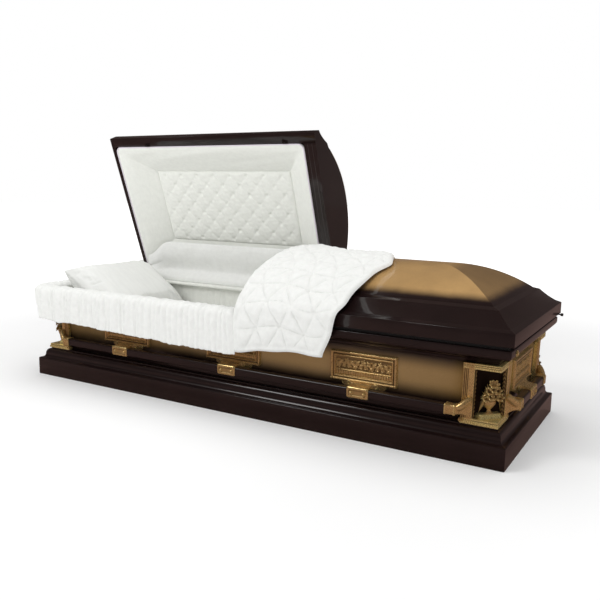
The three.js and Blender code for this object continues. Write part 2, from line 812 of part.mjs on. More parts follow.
function ringOn(width, height, t) {
  const [x, z0] = [width / 2, plateFoot + plateHeight / 2];
  return [at(-x, t, z0 - height / 2), at(x, t, z0 - height / 2), at(x, t, z0 + height / 2), at(-x, t, z0 + height / 2)];
}

// A leaf lies flat on the plate: a low pyramid with its top towards the stem.
function leaf(length, width, height) {
  const base = [[0, 0], [length * 0.35, width / 2], [length, 0], [length * 0.35, -width / 2]];
  const peak = at(length * 0.4, height, 0);
  return loft([base.map(([x, z]) => at(x, -1, z)), base.map(() => peak)]);
}

// A round flower: a low dome with five flat sides.
function bloom(radius, height) {
  const angle = (i) => (i * Math.PI * 2) / 5;
  const ring = (share, t) => Array.from({ length: 5 }, (_, i) =>
    at(radius * share * Math.cos(angle(i)), t, radius * share * Math.sin(angle(i))));
  return loft([ring(1, -1), ring(0.6, height)]);
}

// A generic scroll of leaves and round flowers fills the plate's field.
function reliefLeaves() {
  const middle = plateFoot + plateHeight / 2;
  const place = (shape, x, z, turn) =>
    moved(shape, (u, t, v) => at(x + u * Math.cos(turn) - v * Math.sin(turn), plateField + t,
      z + u * Math.sin(turn) + v * Math.cos(turn)));
  const count = 7;
  const pitch = (plateWidth - 2 * plateMargin) / (count - 1);
  const shapes = [];
  for (let i = 0; i < count; i++) {
    const x = (i - (count - 1) / 2) * pitch;
    const wave = i % 2 ? 1 : -1;
    shapes.push(place(bloom(9, reliefHeight), x, middle + wave * 10, 0));
    for (const turn of [0.8, 2.35]) {
      shapes.push(place(leaf(27, 12, reliefHeight * 0.8), x, middle + wave * 5, -wave * turn));
    }
  }
  return shapes;
}

// The bracket's arm reaches from the wall to the bar and wraps round it.
function arm() {
  const station = (t, half, low, high) =>
    [at(-half, t, low), at(half, t, low), at(half, t, high), at(-half, t, high)];
  const [low, high] = [barHeight - barSize / 2, barHeight + barSize / 2];
  const inner = barReach - barSize / 2 - clampWall - fit;
  const outer = barReach + barSize / 2 + clampWall + fit;
  const half = clampWidth / 2;
  const wrap = clampWall + fit;
  return loft([
    station(fit, half * 1.4, low - 14, plateFoot + 8),
    station(fit + 6, half * 1.25, low - 11, plateFoot + 6),
    station(inner - 3, half * 1.03, low - wrap - 2, high + wrap + 3),
    station(inner, half, low - wrap, high + wrap),
    station(outer - 3, half, low - wrap, high + wrap),
    station(outer, half - 3, low - wrap + 3, high + wrap - 3),
  ]);
}

function bracket() {
  const plate = loft([
    ringOn(plateWidth, plateHeight, fit),
    ringOn(plateWidth, plateHeight, plateThick - 3),
    ringOn(plateWidth - 4, plateHeight - 4, plateThick),
    ringOn(plateWidth - 14, plateHeight - 14, plateThick),
    ringOn(plateWidth - 20, plateHeight - 20, plateThick - 4),
    ringOn(plateWidth - 26, plateHeight - 26, plateThick - 4),
    ringOn(plateWidth - 29, plateHeight - 29, plateThick - 1),
    ringOn(plateWidth - 34, plateHeight - 34, plateThick - 1),
    ringOn(plateWidth - 38, plateHeight - 38, plateField),
  ]);
  return join(plate, arm(), ...reliefLeaves());
}

const bracketShape = bracket();
function addBracket(name, side, middle) {
  const whole = moved(bracketShape, (s, t, z) => sides[side](s + middle, wallInset(z) - t, z));
  add(name, cut(whole, alongBar(side, middle - clampWidth, middle + clampWidth, fit)), "brass");
}

for (const side of Object.keys(sides)) bar(side);
for (const [i, place] of [-plateSpacing, 0, plateSpacing].entries()) {
  addBracket(`bracket_front_${i + 1}`, "front", place);
  addBracket(`bracket_rear_${i + 1}`, "rear", -place);
}
addBracket("bracket_foot", "foot", 0);
addBracket("bracket_head", "head", 0);

// One wing's socket, tube and flared web, built along the side wall towards the corner.
function cornerArm() {
  const post = cornerReach - postWidth;
  const start = -(stubStart - wallInset(barHeight));
  const end = start + stubLength;
  const h = barSize / 2 + stubWall;
  const station = (p, q0, q1, z0, z1) => [at(p, q0, z0), at(p, q1, z0), at(p, q1, z1), at(p, q0, z1)];
  const [low, high] = [barHeight - h, barHeight + h];
  const socket = loft([start, end + 2].map((p) => barSection(2 * h).map(([t, z]) => at(p, t, z))));
  const web = loft([
    station(end, barReach - h + 2, barReach + h - 2, low + 3, high - 2),
    station(end + 14, barReach - h - 6, barReach + h - 10, low - 2, high + 2),
    station(end + 30, cornerThick - 8, barReach - h + 12, low - 10, high + 8),
    station(-post - postWidth * 0.5, 2, cornerThick + 3, low - 18, high + 16),
    station(-post - 4, 2, cornerThick - 1, low - 20, high + 18),
  ]);
  const tube = rod(at(end - 6, barReach, barHeight + 5), at(-post - 10, cornerThick - 3, barHeight + 34), 11, 7);
  return join(socket, web, tube);
}

// The holes for the ends of the two bars that meet at a corner.
function sockets(name) {
  const [alongX, alongY] = corners[name];
  const hole = (side) => {
    const end = halfSpan[side] - stubStart + socketDepth;
    const way = sides[side](1, 0, 0).sub(sides[side](0, 0, 0));
    const toCorner = Math.sign(way.x * alongX + way.y * alongY);
    return alongBar(side, toCorner * (end - 2 * socketDepth), toCorner * end, fit);
  };
  return [hole(alongY < 0 ? "front" : "rear"), hole(alongX > 0 ? "foot" : "head")];
}

// The casting wraps the corner: two posts, a top band, a foot ledge and a niche between them.
function cornerCasting() {
  const reach = cornerReach;
  const face = cornerThick;
  const deep = nicheDepth;
  const outline = [
    [-reach, fit], [-reach, face], [face, face], [face, -reach], [fit, -reach], [fit, -deep + fit], [-deep + fit, fit],
  ];
  const body = prism(outline, cornerFoot, cornerTop);
  const post = reach - postWidth;
  const back = deep - 3;
  const opening = prism([
    [-post, face + 5], [face + 5, face + 5], [face + 5, -post], [post - back, -post], [-post, post - back],
  ], cornerFoot + bandHeight, cornerTop - bandHeight);
  const swap = (shape) => moved(shape, (p, q, z) => at(q, p, z));
  const wing = cornerArm();
  const scroll = rod(at(-reach + 3, 2, cornerFoot + 9), at(-reach + 3, face + 3, cornerFoot + 9), 8.5, 8);
  const ledge = prism([
    [-reach + 12, fit], [-reach + 12, face + 3], [face + 3, face + 3], [face + 3, -reach + 12], [fit, -reach + 12],
    [fit, -post], [-post, fit],
  ], cornerFoot, cornerFoot + 6);
  return join(cut(body, opening), ledge, wing, swap(wing), scroll, swap(scroll));
}

// An urn of lilies and leaves on a small plinth stands in each niche.
function nicheOrnament() {
  const foot = cornerFoot + bandHeight + fit;
  const middle = -22;
  const plinthHeight = 15;
  const plinth = prism([[-52, 8], [8, -52], [-8, -60], [-60, -8]], foot, foot + plinthHeight);
  const turned = (shape, flat = 0.55) => moved(shape, (x, y, z) => {
    const along = (x - y) / Math.SQRT2;
    const deep = ((x + y) / Math.SQRT2) * flat;
    return at(middle - 2 + (along + deep) / Math.SQRT2, middle - 2 + (deep - along) / Math.SQRT2, z);
  });
  const urnPoints = [[0, 0], [17, 0], [7, 9], [7, 16], [22, 34], [21, 45], [15, 50], [19, 56], [0, 56]];
  const base = foot + plinthHeight - 1;
  const urn = bare(new THREE.LatheGeometry(urnPoints.map(([r, z]) => new THREE.Vector2(r, z)), 8)
    .rotateX(Math.PI / 2).translate(0, 0, base));
  const shapes = [turned(urn)];
  const foliage = new THREE.SphereGeometry(1, 7, 4).rotateX(Math.PI / 2).scale(33, 33, 36);
  shapes.push(turned(bare(foliage.translate(0, 0, base + foliageRise)), 0.45));
  const rows = [[4, 31, 60], [3, 22, 82], [2, 11, 102]];
  for (const [count, out, up] of rows) {
    for (let i = 0; i < count; i++) {
      const side = ((i + 0.5) / count - 0.5) * 2;
      const lily = new THREE.ConeGeometry(12, 20, 5).rotateX(-Math.PI / 2 + 0.5).rotateZ(-Math.PI / 4);
      const [x, z] = [out * side * 1.1, base + up - Math.abs(side) * 10];
      shapes.push(turned(bare(lily.translate((x + 7) * Math.SQRT1_2, (7 - x) * Math.SQRT1_2, z)), 0.8));
    }
  }
  return join(plinth, ...shapes);
}

const castingShape = cornerCasting();
const ornamentShape = nicheOrnament();
for (const name of Object.keys(corners)) {
  add(`corner_casting_${name}`, cut(moved(castingShape, atCorner(name)), ...sockets(name)), "brass");
  add(`corner_ornament_${name}`, moved(ornamentShape, atCorner(name)), "brass");
}

export default casket;
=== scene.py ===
"""Funeral casket: its paint, cast brass, linings and cloth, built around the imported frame.

Shapes are worked out in millimetres and stored in metres. X runs to the foot end, -Y is the front, +Z is up.
"""
import json
import math

import bmesh
import bpy
import numpy as np
from bpy.props import FloatProperty, FloatVectorProperty, PointerProperty
from mathutils import Matrix, Vector


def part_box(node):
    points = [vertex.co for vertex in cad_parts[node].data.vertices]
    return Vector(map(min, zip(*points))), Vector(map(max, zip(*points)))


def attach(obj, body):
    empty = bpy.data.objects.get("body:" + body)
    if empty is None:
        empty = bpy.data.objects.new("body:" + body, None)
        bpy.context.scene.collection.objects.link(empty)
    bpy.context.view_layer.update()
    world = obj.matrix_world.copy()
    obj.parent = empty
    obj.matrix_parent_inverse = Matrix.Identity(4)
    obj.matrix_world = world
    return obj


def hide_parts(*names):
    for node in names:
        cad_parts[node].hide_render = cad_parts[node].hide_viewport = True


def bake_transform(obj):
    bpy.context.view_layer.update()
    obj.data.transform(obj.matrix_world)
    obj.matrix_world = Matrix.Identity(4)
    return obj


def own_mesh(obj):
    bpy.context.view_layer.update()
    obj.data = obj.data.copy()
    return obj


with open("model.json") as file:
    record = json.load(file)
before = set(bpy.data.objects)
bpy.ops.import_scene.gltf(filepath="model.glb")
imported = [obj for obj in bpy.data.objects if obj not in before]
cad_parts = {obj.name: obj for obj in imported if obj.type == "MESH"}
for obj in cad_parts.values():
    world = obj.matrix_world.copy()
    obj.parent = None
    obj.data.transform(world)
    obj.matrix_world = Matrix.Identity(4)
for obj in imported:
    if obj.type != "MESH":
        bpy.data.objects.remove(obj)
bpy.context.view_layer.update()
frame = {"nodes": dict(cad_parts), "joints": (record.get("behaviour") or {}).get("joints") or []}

bl_info = {
    "name": "Funeral casket",
    "version": (1, 0, 0),
    "blender": (4, 5, 0),
    "location": "View3D > Sidebar > Casket",
    "description": "Builds the paint, cast brass, linings and cloth of a steel casket around its frame",
    "category": "Add Mesh",
}

MM = 0.001


def box(name):
    """The lowest and highest corners of a CAD node, in millimetres."""
    return [np.array(corner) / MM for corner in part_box(name)]


# Sizes that the frame gives
FIT, SHEET = 0.3, 1.2
SHELL = box("foot_lid_shell")
HALF_X, HALF_Y = SHELL[1][0], SHELL[1][1]
LID_Z, CROWN_Z = SHELL[0][2], SHELL[1][2]
SPLIT_FOOT = SHELL[0][0]
SPLIT_HEAD = box("head_lid_shell")[1][0]
BODY_Z = box("body_rim_front")[1][2]
COVE_Z = box("body_rim_front")[0][2] - FIT
MOULD_Z = box("base_moulding_front")[1][2]
HEAD_HINGE = next(joint for joint in frame["joints"] if joint["child"] == "head_lid")
HINGE_Y, HINGE_Z = (value / MM for value in HEAD_HINGE["pos_m"][1:])
OPEN_ANGLE = math.radians(-HEAD_HINGE["range_deg"][0])
BAR_SIZE = box("bar_front")[1][2] - box("bar_front")[0][2]
BAR_Z = (box("bar_front")[0][2] + box("bar_front")[1][2]) / 2
BAR_REACH = 37.0
CASTING_LOW, CASTING_HIGH = (corner[2] for corner in box("corner_casting_front_foot"))
PLATE = box("bracket_front_3")
PLATE_X, PLATE_TOP = (PLATE[0][0] + PLATE[1][0]) / 2, PLATE[1][2]
PLATE_HALF = (PLATE[1][0] - PLATE[0][0]) / 2

# Insets of the steel profiles from the lid's edge, their rises, and how far a wall stops short of its corner
WALL_FOOT_INSET, WALL_FLARE = 62.0, 5.0
WALL_STOP = 73.5
BASE_SET_BACK, BASE_FACE = 8.75, 74.0
RIM_INSET, RIM_FLANGE = 9.0, 51.0
LID_FLANGE = 43.0
LOW_LEDGE, COVE, HIGH_LEDGE = (18.0, 8.0), (52.0, 46.0), (22.0, 7.0)
CROWN_STEP, CROWN_POWER = 3.0, 2.15
FLANGE_SIDE, FLANGE_END, SPLIT_FLANGE = 44.0, 24.0, 60.0


def wall_inset(z):
    """How far the wall lies inside the lid's edge: most at the moulding, and its flare less at the foot of
    the rim's cove."""
    return WALL_FOOT_INSET - WALL_FLARE * (z - MOULD_Z) / (COVE_Z - MOULD_Z)


# Curves, waves and grids


def smooth(low, high, x):
    """3t^2 - 2t^3, where t is x's share of the way from low to high, kept between 0 and 1."""
    t = np.clip((np.asarray(x, float) - low) / (high - low), 0, 1)
    return t * t * (3 - 2 * t)


def bow(a, b, c, steps):
    """Points on the curve (1-t)^2 a + 2t(1-t) b + t^2 c."""
    a, b, c = (np.asarray(p, float) for p in (a, b, c))
    t = np.linspace(0, 1, steps + 1)[:, None]
    return (1 - t) ** 2 * a + 2 * t * (1 - t) * b + t**2 * c


def rounded(line, radius, steps=3):
    """The line with each bend replaced by a bow that starts and ends a radius from it, or less on short
    stretches."""
    line = [np.asarray(p, float) for p in line]
    out = [line[0][None]]
    for a, b, c in zip(line, line[1:], line[2:]):
        back, on = a - b, c - b
        reach = min(radius, 0.45 * np.linalg.norm(back), 0.45 * np.linalg.norm(on))
        start, end = (b + way / np.linalg.norm(way) * reach for way in (back, on))
        out.append(bow(start, b, end, steps))
    return np.concatenate([*out, line[-1][None]])


def even(line, count):
    """The line's points, spaced evenly along its length."""
    line = np.asarray(line, float)
    far = np.concatenate([[0], np.cumsum(np.linalg.norm(np.diff(line, axis=0), axis=1))])
    places = np.linspace(0, far[-1], count)
    return np.stack([np.interp(places, far, line[:, i]) for i in range(line.shape[1])], -1)


def spline(points, count, steps=14):
    """An even curve through points. Between b and c, with a before and d after them, it is
    (2b + (c-a)t + (2a-5b+4c-d)t^2 + (3b-a-3c+d)t^3) / 2."""
    p = np.asarray(points, float)
    p = np.concatenate([[2 * p[0] - p[1]], p, [2 * p[-1] - p[-2]]])
    a, b, c, d = (p[i:len(p) - 3 + i, None] for i in range(4))
    t = np.linspace(0, 1, steps)[None, :, None]
    path = (2 * b + (c - a) * t + (2 * a - 5 * b + 4 * c - d) * t**2 + (3 * b - a - 3 * c + d) * t**3) / 2
    return even(path.reshape(-1, p.shape[1]), count)


def unit(vectors):
    return vectors / np.maximum(np.linalg.norm(vectors, axis=-1, keepdims=True), 1e-9)


def waves(x, seed, count, shortest, longest):
    """A sum of sines of x with seeded lengths between the two given and seeded phases, about -1 to 1."""
    rng = np.random.default_rng(seed)
    lengths = np.exp(rng.uniform(np.log(shortest), np.log(longest), count))
    phases = rng.uniform(0, 2 * np.pi, count)
    x = np.asarray(x, float)[..., None]
    return np.sin(2 * np.pi * x / lengths + phases).sum(-1) / math.sqrt(count)


def ripples(x, y, seed, count, shortest, longest):
    """A sum of sines of x and y, each along a seeded direction with a seeded length and phase."""
    rng = np.random.default_rng(seed)
    lengths = np.exp(rng.uniform(np.log(shortest), np.log(longest), count))
    way, phases = rng.uniform(0, 2 * np.pi, (2, count))
    place = np.asarray(x, float)[..., None] * np.cos(way) + np.asarray(y, float)[..., None] * np.sin(way)
    return np.sin(2 * np.pi * place / lengths + phases).sum(-1) / math.sqrt(count)


def cells(rows, cols, wrap_rows=False, wrap_cols=False):
    """The four corners of each cell of a grid of points that is numbered along its rows."""
    i = np.arange(rows if wrap_rows else rows - 1)[:, None]
    j = np.arange(cols if wrap_cols else cols - 1)[None, :]
    k, m = (i + 1) % rows, (j + 1) % cols
    return np.stack([i * cols + j, i * cols + m, k * cols + m, k * cols + j], -1).reshape(-1, 4)


class Shape:
    """Gathers grids of points into one mesh, with named values on the points."""

    def __init__(self):
        self.points, self.faces, self.marks, self.count = [], [], [], 0

    def grid(self, points, wrap_rows=False, wrap_cols=False, ends=False, **marks):
        """Adds a grid of points. With ends, its first and last rows are closed by one face each."""
        rows, cols = points.shape[:2]
        self.faces += (cells(rows, cols, wrap_rows, wrap_cols) + self.count).tolist()
        if ends:
            ring = np.arange(cols) + self.count
            self.faces += [ring[::-1].tolist(), (ring + (rows - 1) * cols).tolist()]
        self.points.append(points.reshape(-1, 3))
        self.marks.append({name: np.broadcast_to(value, (rows, cols)).reshape(-1)
                           for name, value in marks.items()})
        self.count += rows * cols
        return self

    def slab(self, face, back, **marks):
        """Adds two grids of the same points as one closed slab: a face, a back and a strip between them."""
        def border(g):
            return np.concatenate([g[:, 0], g[-1, 1:], g[-2::-1, -1], g[0, -2:0:-1]])
        whole = {name: np.broadcast_to(value, face.shape[:2]) for name, value in marks.items()}
        self.grid(face, **whole).grid(back, **whole)
        return self.grid(np.stack([border(face), border(back)]), wrap_cols=True,
                         **{name: border(value) for name, value in whole.items()})

    def add(self, other, place=None, **marks):
        """Adds another shape's grids, moved by a function of points where one is given."""
        points = np.concatenate(other.points)
        self.points.append(place(points) if place else points)
        self.faces += [[i + self.count for i in face] for face in other.faces]
        held = other.joined_marks()
        held.update({name: np.full(len(points), float(value)) for name, value in marks.items()})
        self.marks.append(held)
        self.count += len(points)
        return self

    def joined_marks(self):
        """Each mark's values over all the points, with 0 where a grid has no such mark."""
        names = sorted({name for marks in self.marks for name in marks})
        sizes = [len(p) for p in self.points]
        return {name: np.concatenate([m.get(name, np.zeros(n)) for m, n in zip(self.marks, sizes)])
                for name in names}

    def mesh(self, name, weld=0.02):
        """The mesh, with near points merged and faces turned outwards. Marks u and v become its UV map."""
        mesh = bpy.data.meshes.new(name)
        mesh.from_pydata((np.concatenate(self.points) * MM).tolist(), [], self.faces)
        marks = self.joined_marks()
        for key in [name for name in marks if name not in ("u", "v")]:
            held = mesh.attributes.new(key, "FLOAT", "POINT")
            held.data.foreach_set("value", marks[key].astype(np.float32))
        if "u" in marks:
            write_uv(mesh, np.stack([marks["u"], marks["v"]], -1) * MM)
        work = bmesh.new()
        work.from_mesh(mesh)
        bmesh.ops.remove_doubles(work, verts=work.verts, dist=weld * MM)
        bmesh.ops.recalc_face_normals(work, faces=work.faces)
        work.to_mesh(mesh)
        work.free()
        return mesh


def write_uv(mesh, pairs):
    """Writes the mesh's UV map from one pair of metres for each of its points."""
    corners = np.zeros(len(mesh.loops), np.int32)
    mesh.loops.foreach_get("vertex_index", corners)
    layer = mesh.uv_layers.active or mesh.uv_layers.new(name="cloth")
    layer.data.foreach_set("uv", pairs[corners].astype(np.float32).ravel())


def piece(name, shape, body, finish, stands_for=(), crease=38, wall=0.0, weld=0.02):
    """A finished object: smooth shading broken at creases, a wall inside the surface where given, and its
    body."""
    mesh = shape.mesh(name, weld)
    mesh.polygons.foreach_set("use_smooth", np.ones(len(mesh.polygons), bool))
    mesh.set_sharp_from_angle(angle=math.radians(crease))
    mesh.materials.append(material(finish))
    obj = bpy.data.objects.new(name, mesh)
    bpy.context.scene.collection.objects.link(obj)
    if wall:
        inside = obj.modifiers.new("wall", "SOLIDIFY")
        inside.thickness, inside.offset, inside.use_even_offset = wall * MM, -1, True
    if body:
        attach(obj, body)
    if stands_for:
        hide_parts(*stands_for)
    return obj


def tube(path, radius, sides=12, squeeze=1.0):
    """A bar along a path: rings across each point's direction, flattened by squeeze, closed at both ends."""
    path = np.asarray(path, float)
    way = unit(np.gradient(path, axis=0))
    across = unit(np.cross(way, np.where(np.abs(way[:, 2:]) > 0.9, [[1.0, 0, 0]], [[0, 0, 1.0]])))
    lift = np.cross(across, way)
    radius = np.broadcast_to(np.asarray(radius, float), len(path))[:, None, None]
    angle = np.linspace(0, 2 * np.pi, sides, endpoint=False)[None, :, None]
    ring = np.cos(angle) * across[:, None] + squeeze * np.sin(angle) * lift[:, None]
    return Shape().grid(path[:, None] + ring * radius, wrap_cols=True, ends=True)


def turned(profile, sides=32, flutes=0, depth=0.0):
    """A profile of (radius, height) turned round the Z axis, with the radius less by depth in each flute."""
    radius, height = np.asarray(profile, float).T
    angle = np.linspace(0, 2 * np.pi, sides, endpoint=False)
    r = radius[:, None] * (1 - depth * np.abs(np.sin(flutes * angle / 2))[None])
    points = np.stack([r * np.cos(angle), r * np.sin(angle), np.broadcast_to(height[:, None], r.shape)], -1)
    return Shape().grid(points, wrap_cols=True, ends=True)


def square_ring(width, height, radius, steps=4):
    """A ring of (across, up) points about the middle of a rectangle with round corners."""
    angle = np.linspace(0, np.pi / 2, steps + 1)
    ring = [np.stack([(width / 2 - radius) * sx + radius * np.cos(angle + turn),
                      (height / 2 - radius) * sy + radius * np.sin(angle + turn)], -1)
            for sx, sy, turn in ((1, 1, 0), (-1, 1, np.pi / 2), (-1, -1, np.pi), (1, -1, 1.5 * np.pi))]
    return np.concatenate(ring)


def opened(points):
    """Points of the closed head lid turned to where it stands open, about the hinge line."""
    y, z = points[..., 1] - HINGE_Y, points[..., 2] - HINGE_Z
    c, s = math.cos(OPEN_ANGLE), math.sin(OPEN_ANGLE)
    return np.stack([points[..., 0], HINGE_Y + y * c + z * s, HINGE_Z - y * s + z * c], -1)


def on_open_lid(up, depth):
    """The y and z of a point at a distance from the hinge edge and a depth into the opened lid."""
    return opened(np.array([0, HALF_Y - up, LID_Z + depth]))[1:]


# Sides and corners of the casket

SIDES = {
    "front": lambda s, inset, z: (s, inset - HALF_Y, z),
    "rear": lambda s, inset, z: (-s, HALF_Y - inset, z),
    "foot": lambda s, inset, z: (HALF_X - inset, s, z),
    "head": lambda s, inset, z: (inset - HALF_X, -s, z),
}
HALF_SPAN = {"front": HALF_X, "rear": HALF_X, "foot": HALF_Y, "head": HALF_Y}
CORNERS = {"front_foot": (1, -1), "rear_foot": (1, 1), "rear_head": (-1, 1), "front_head": (-1, -1)}


def on_side(side, middle=0.0):
    """Turns points (along, outward from the wall, up) into points on that side, about a place along it."""
    def place(points):
        s, t, z = np.moveaxis(points, -1, 0)
        return np.stack(np.broadcast_arrays(*SIDES[side](s + middle, wall_inset(z) - t, z)), -1)
    return place


def at_corner(name):
    """Turns points (out from the end wall, out from the side wall, up) into points at that corner."""
    along_x, along_y = CORNERS[name]

    def place(points):
        p, q, z = np.moveaxis(points, -1, 0)
        inset = wall_inset(z)
        return np.stack([along_x * (HALF_X - inset + p), along_y * (HALF_Y - inset + q), z], -1)
    return place


def carried(profile, radius=3.0, steps=4, corners=tuple(CORNERS), start_x=None, inset_x=None):
    """A profile of (inset, height) carried round the lid's edge rectangle. Each corner is an arc of the
    radius, centred an inset and a radius inside both edges. With start_x it runs from there round the foot's
    two corners."""
    inset, z = np.asarray(profile, float).T
    inset_x = inset if inset_x is None else inset_x
    r = np.minimum(radius, np.maximum(HALF_Y - inset, 0))
    rows = []
    for name in corners:
        along_x, along_y = CORNERS[name]
        first = {"front_foot": -90, "rear_foot": 0, "rear_head": 90, "front_head": 180}[name]
        for turn in np.radians(np.linspace(first, first + 90, steps + 1)):
            rows.append([along_x * (HALF_X - inset_x - r) + r * math.cos(turn),
                         along_y * (HALF_Y - inset - r) + r * math.sin(turn), z])
    if start_x is not None:
        ends = [[np.full_like(z, start_x), way * (HALF_Y - inset), z] for way in (-1, 1)]
        rows = [ends[0], *rows, ends[1]]
    return np.moveaxis(np.array(rows), 1, -1)


# Materials


def node(tree, kind, inputs=None, **settings):
    """A shader node with its settings, and its inputs given as values or as other nodes' outputs."""
    made = tree.nodes.new("ShaderNode" + kind)
    for key, value in settings.items():
        setattr(made, key, value)
    for key, value in (inputs or {}).items():
        if isinstance(value, bpy.types.NodeSocket):
            tree.links.new(value, made.inputs[key])
        else:
            made.inputs[key].default_value = value
    return made


def start_material(name, **principled):
    """A new material, its tree and its main shader, with constants set on the shader's own sockets."""
    made = bpy.data.materials.new(name)
    made.use_nodes = True
    shader = made.node_tree.nodes["Principled BSDF"]
    for key, value in principled.items():
        shader.inputs[key.replace("_", " ")].default_value = value
    return made, made.node_tree, shader


def ramp(tree, source, *stops):
    """Colours or greys by value: each stop is (place, colour)."""
    made = node(tree, "ValToRGB", {"Fac": source})
    line = made.color_ramp
    line.interpolation = "EASE"
    while len(line.elements) < len(stops):
        line.elements.new(0.5)
    for element, (place, colour) in zip(line.elements, stops):
        element.position = place
        element.color = (*colour, 1) if hasattr(colour, "__len__") else (colour, colour, colour, 1)
    return made.outputs["Color"]


def noise(tree, scale, detail=3.0, roughness=0.5, stretch=(1, 1, 1), coordinates="Object"):
    """Noise over the piece, stretched along an axis where a share under 1 is given."""
    place = node(tree, "TexCoord").outputs[coordinates]
    place = node(tree, "Mapping", {"Vector": place, "Scale": stretch}).outputs["Vector"]
    return node(tree, "TexNoise", {
        "Vector": place, "Scale": scale, "Detail": detail, "Roughness": roughness}).outputs["Fac"]


def span(tree, value, low, high, start=0.0, end=1.0):
    """The value's eased share of the way from low to high, as a number from start to end."""
    return node(tree, "MapRange", {
        "Value": value, "From Min": low, "From Max": high, "To Min": start, "To Max": end,
    }, interpolation_type="SMOOTHSTEP").outputs["Result"]


def sums(tree, how, *values, clamp=False):
    """The values joined two by two with a sum of that kind."""
    total = values[0]
    for value in values[1:]:
        total = node(tree, "Math", {0: total, 1: value}, operation=how, use_clamp=clamp).outputs[0]
    return total


def mixed(tree, share, a, b):
    """Colour a at share 0 and colour b at share 1."""
    made = node(tree, "Mix", {"Factor": share}, data_type="RGBA")
    for key, value in ((6, a), (7, b)):
        if isinstance(value, bpy.types.NodeSocket):
            tree.links.new(value, made.inputs[key])
        else:
            made.inputs[key].default_value = (*value, 1)
    return made.outputs[2]


def bumped(tree, shader, *layers):
    """Layers of (height, distance, strength) as bump on the shader."""
    normal = None
    for height, distance, strength in layers:
        inputs = {"Height": height, "Distance": distance, "Strength": strength}
        if normal is not None:
            inputs["Normal"] = normal
        normal = node(tree, "Bump", inputs).outputs["Normal"]
    tree.links.new(normal, shader.inputs["Normal"])


def times(colour, factor):
    return tuple(min(1.0, part * factor) for part in colour)


# Closed heights in metres where the walls' gold comes in, where it goes out and where gold gets lighter as
# its painted shade fades out, and how far the gold's edges spread round the start of the crown and drift
BAND_IN, BAND_OUT, WALL_GOLD_SHADE = (0.172, 0.235), (0.325, 0.262), (0.33, 0.5)
CROWN_EDGE, DRIFT = (-0.006, 0.02), 0.007


def paint_material(sizes):
    """Gloss brown with an airbrushed gold band on the walls and a gold crown, by the closed height in
    `rise`. The gold of the walls is darker, as painted shade on the upright walls, and that of the crown is
    half as strong on its end faces, as painted shade on the faces turned to the ends."""
    made, tree, shader = start_material(
        "brown_and_gold_paint", Coat_Weight=0.55, Coat_Roughness=0.05, Coat_IOR=1.5, Specular_IOR_Level=0.25)
    rise = node(tree, "Attribute", attribute_name="rise").outputs["Fac"]
    cloud = noise(tree, 9.0, 4.0)
    drift = sums(tree, "MULTIPLY", sums(tree, "SUBTRACT", cloud, 0.5), DRIFT)
    height = sums(tree, "ADD", rise, drift)
    band = sums(tree, "MULTIPLY", span(tree, height, *BAND_IN), span(tree, height, *BAND_OUT))
    crown = span(tree, height, *(sizes.crown_start + spread for spread in CROWN_EDGE))
    # The crown's gold is half as strong where its faces turn to the ends: painted shade on the end faces.
    sideways = node(tree, "SeparateXYZ", {"Vector": node(tree, "TexCoord").outputs["Normal"]}).outputs["X"]
    crown = sums(tree, "MULTIPLY", crown, span(tree, sums(tree, "ABSOLUTE", sideways), 0.06, 0.22, 1.0, 0.5))
    share = sums(tree, "ADD", band, crown, clamp=True)
    speck = sums(tree, "MULTIPLY", share, span(tree, noise(tree, 900.0, 2.0), 0.3, 0.75, 0.72, 1.0))
    gold = ramp(tree, cloud, (0.3, times(sizes.gold, 0.86)), (0.7, tuple(sizes.gold)))
    # Below these heights the gold is painted darker: painted shade on the upright walls.
    gold = mixed(tree, span(tree, rise, *WALL_GOLD_SHADE), times(sizes.gold, 0.66), gold)
    brown = ramp(tree, cloud, (0.3, tuple(sizes.brown)), (0.7, times(sizes.brown, 1.3)))
    tree.links.new(mixed(tree, speck, brown, gold), shader.inputs["Base Color"])
    tree.links.new(span(tree, share, 0, 1, 0.1, 0.25), shader.inputs["Metallic"])
    tree.links.new(span(tree, share, 0, 1, 0.3, 0.42), shader.inputs["Roughness"])
    bumped(tree, shader, (noise(tree, 260.0, 2.0), 0.0001, 0.05))
    return made


def brass_material(sizes):
    """Antique brass: satin where it is rubbed, dark brown in hollows and where the points' mark is high,
    as patina and painted shade, and lighter on sharp edges, as rubbed wear and a painted highlight.
    """
    made, tree, shader = start_material("antique_brass", Metallic=0.85)
    recess = node(tree, "Attribute", attribute_name="recess").outputs["Fac"]
    patch = noise(tree, 38.0, 5.0, 0.6)
    fine = noise(tree, 420.0, 3.0)
    edge = node(tree, "NewGeometry").outputs["Pointiness"]
    # Painted dark brown: patina and painted shade in the hollows, in concave creases and where the mark is
    # high, and patina in random patches.
    dark = sums(tree, "ADD", recess, span(tree, edge, 0.48, 0.4, 0.0, 0.6),
                span(tree, patch, 0.58, 0.8, 0.0, 0.3), clamp=True)
    body = ramp(tree, patch, (0.25, times(sizes.brass, 0.75)), (0.75, tuple(sizes.brass)))
    # Sharp edges painted lighter: rubbed wear and a painted highlight.
    rubbed_and_highlit = mixed(tree, span(tree, edge, 0.53, 0.62), body, times(sizes.brass, 1.5))
    tree.links.new(mixed(tree, dark, rubbed_and_highlit, (0.022, 0.012, 0.008)), shader.inputs["Base Color"])
    satin = span(tree, fine, 0.3, 0.7, 0.24, 0.34)
    tree.links.new(sums(tree, "ADD", satin, sums(tree, "MULTIPLY", dark, 0.25)), shader.inputs["Roughness"])
    bumped(tree, shader, (patch, 0.0008, 0.07), (fine, 0.0002, 0.03))
    return made


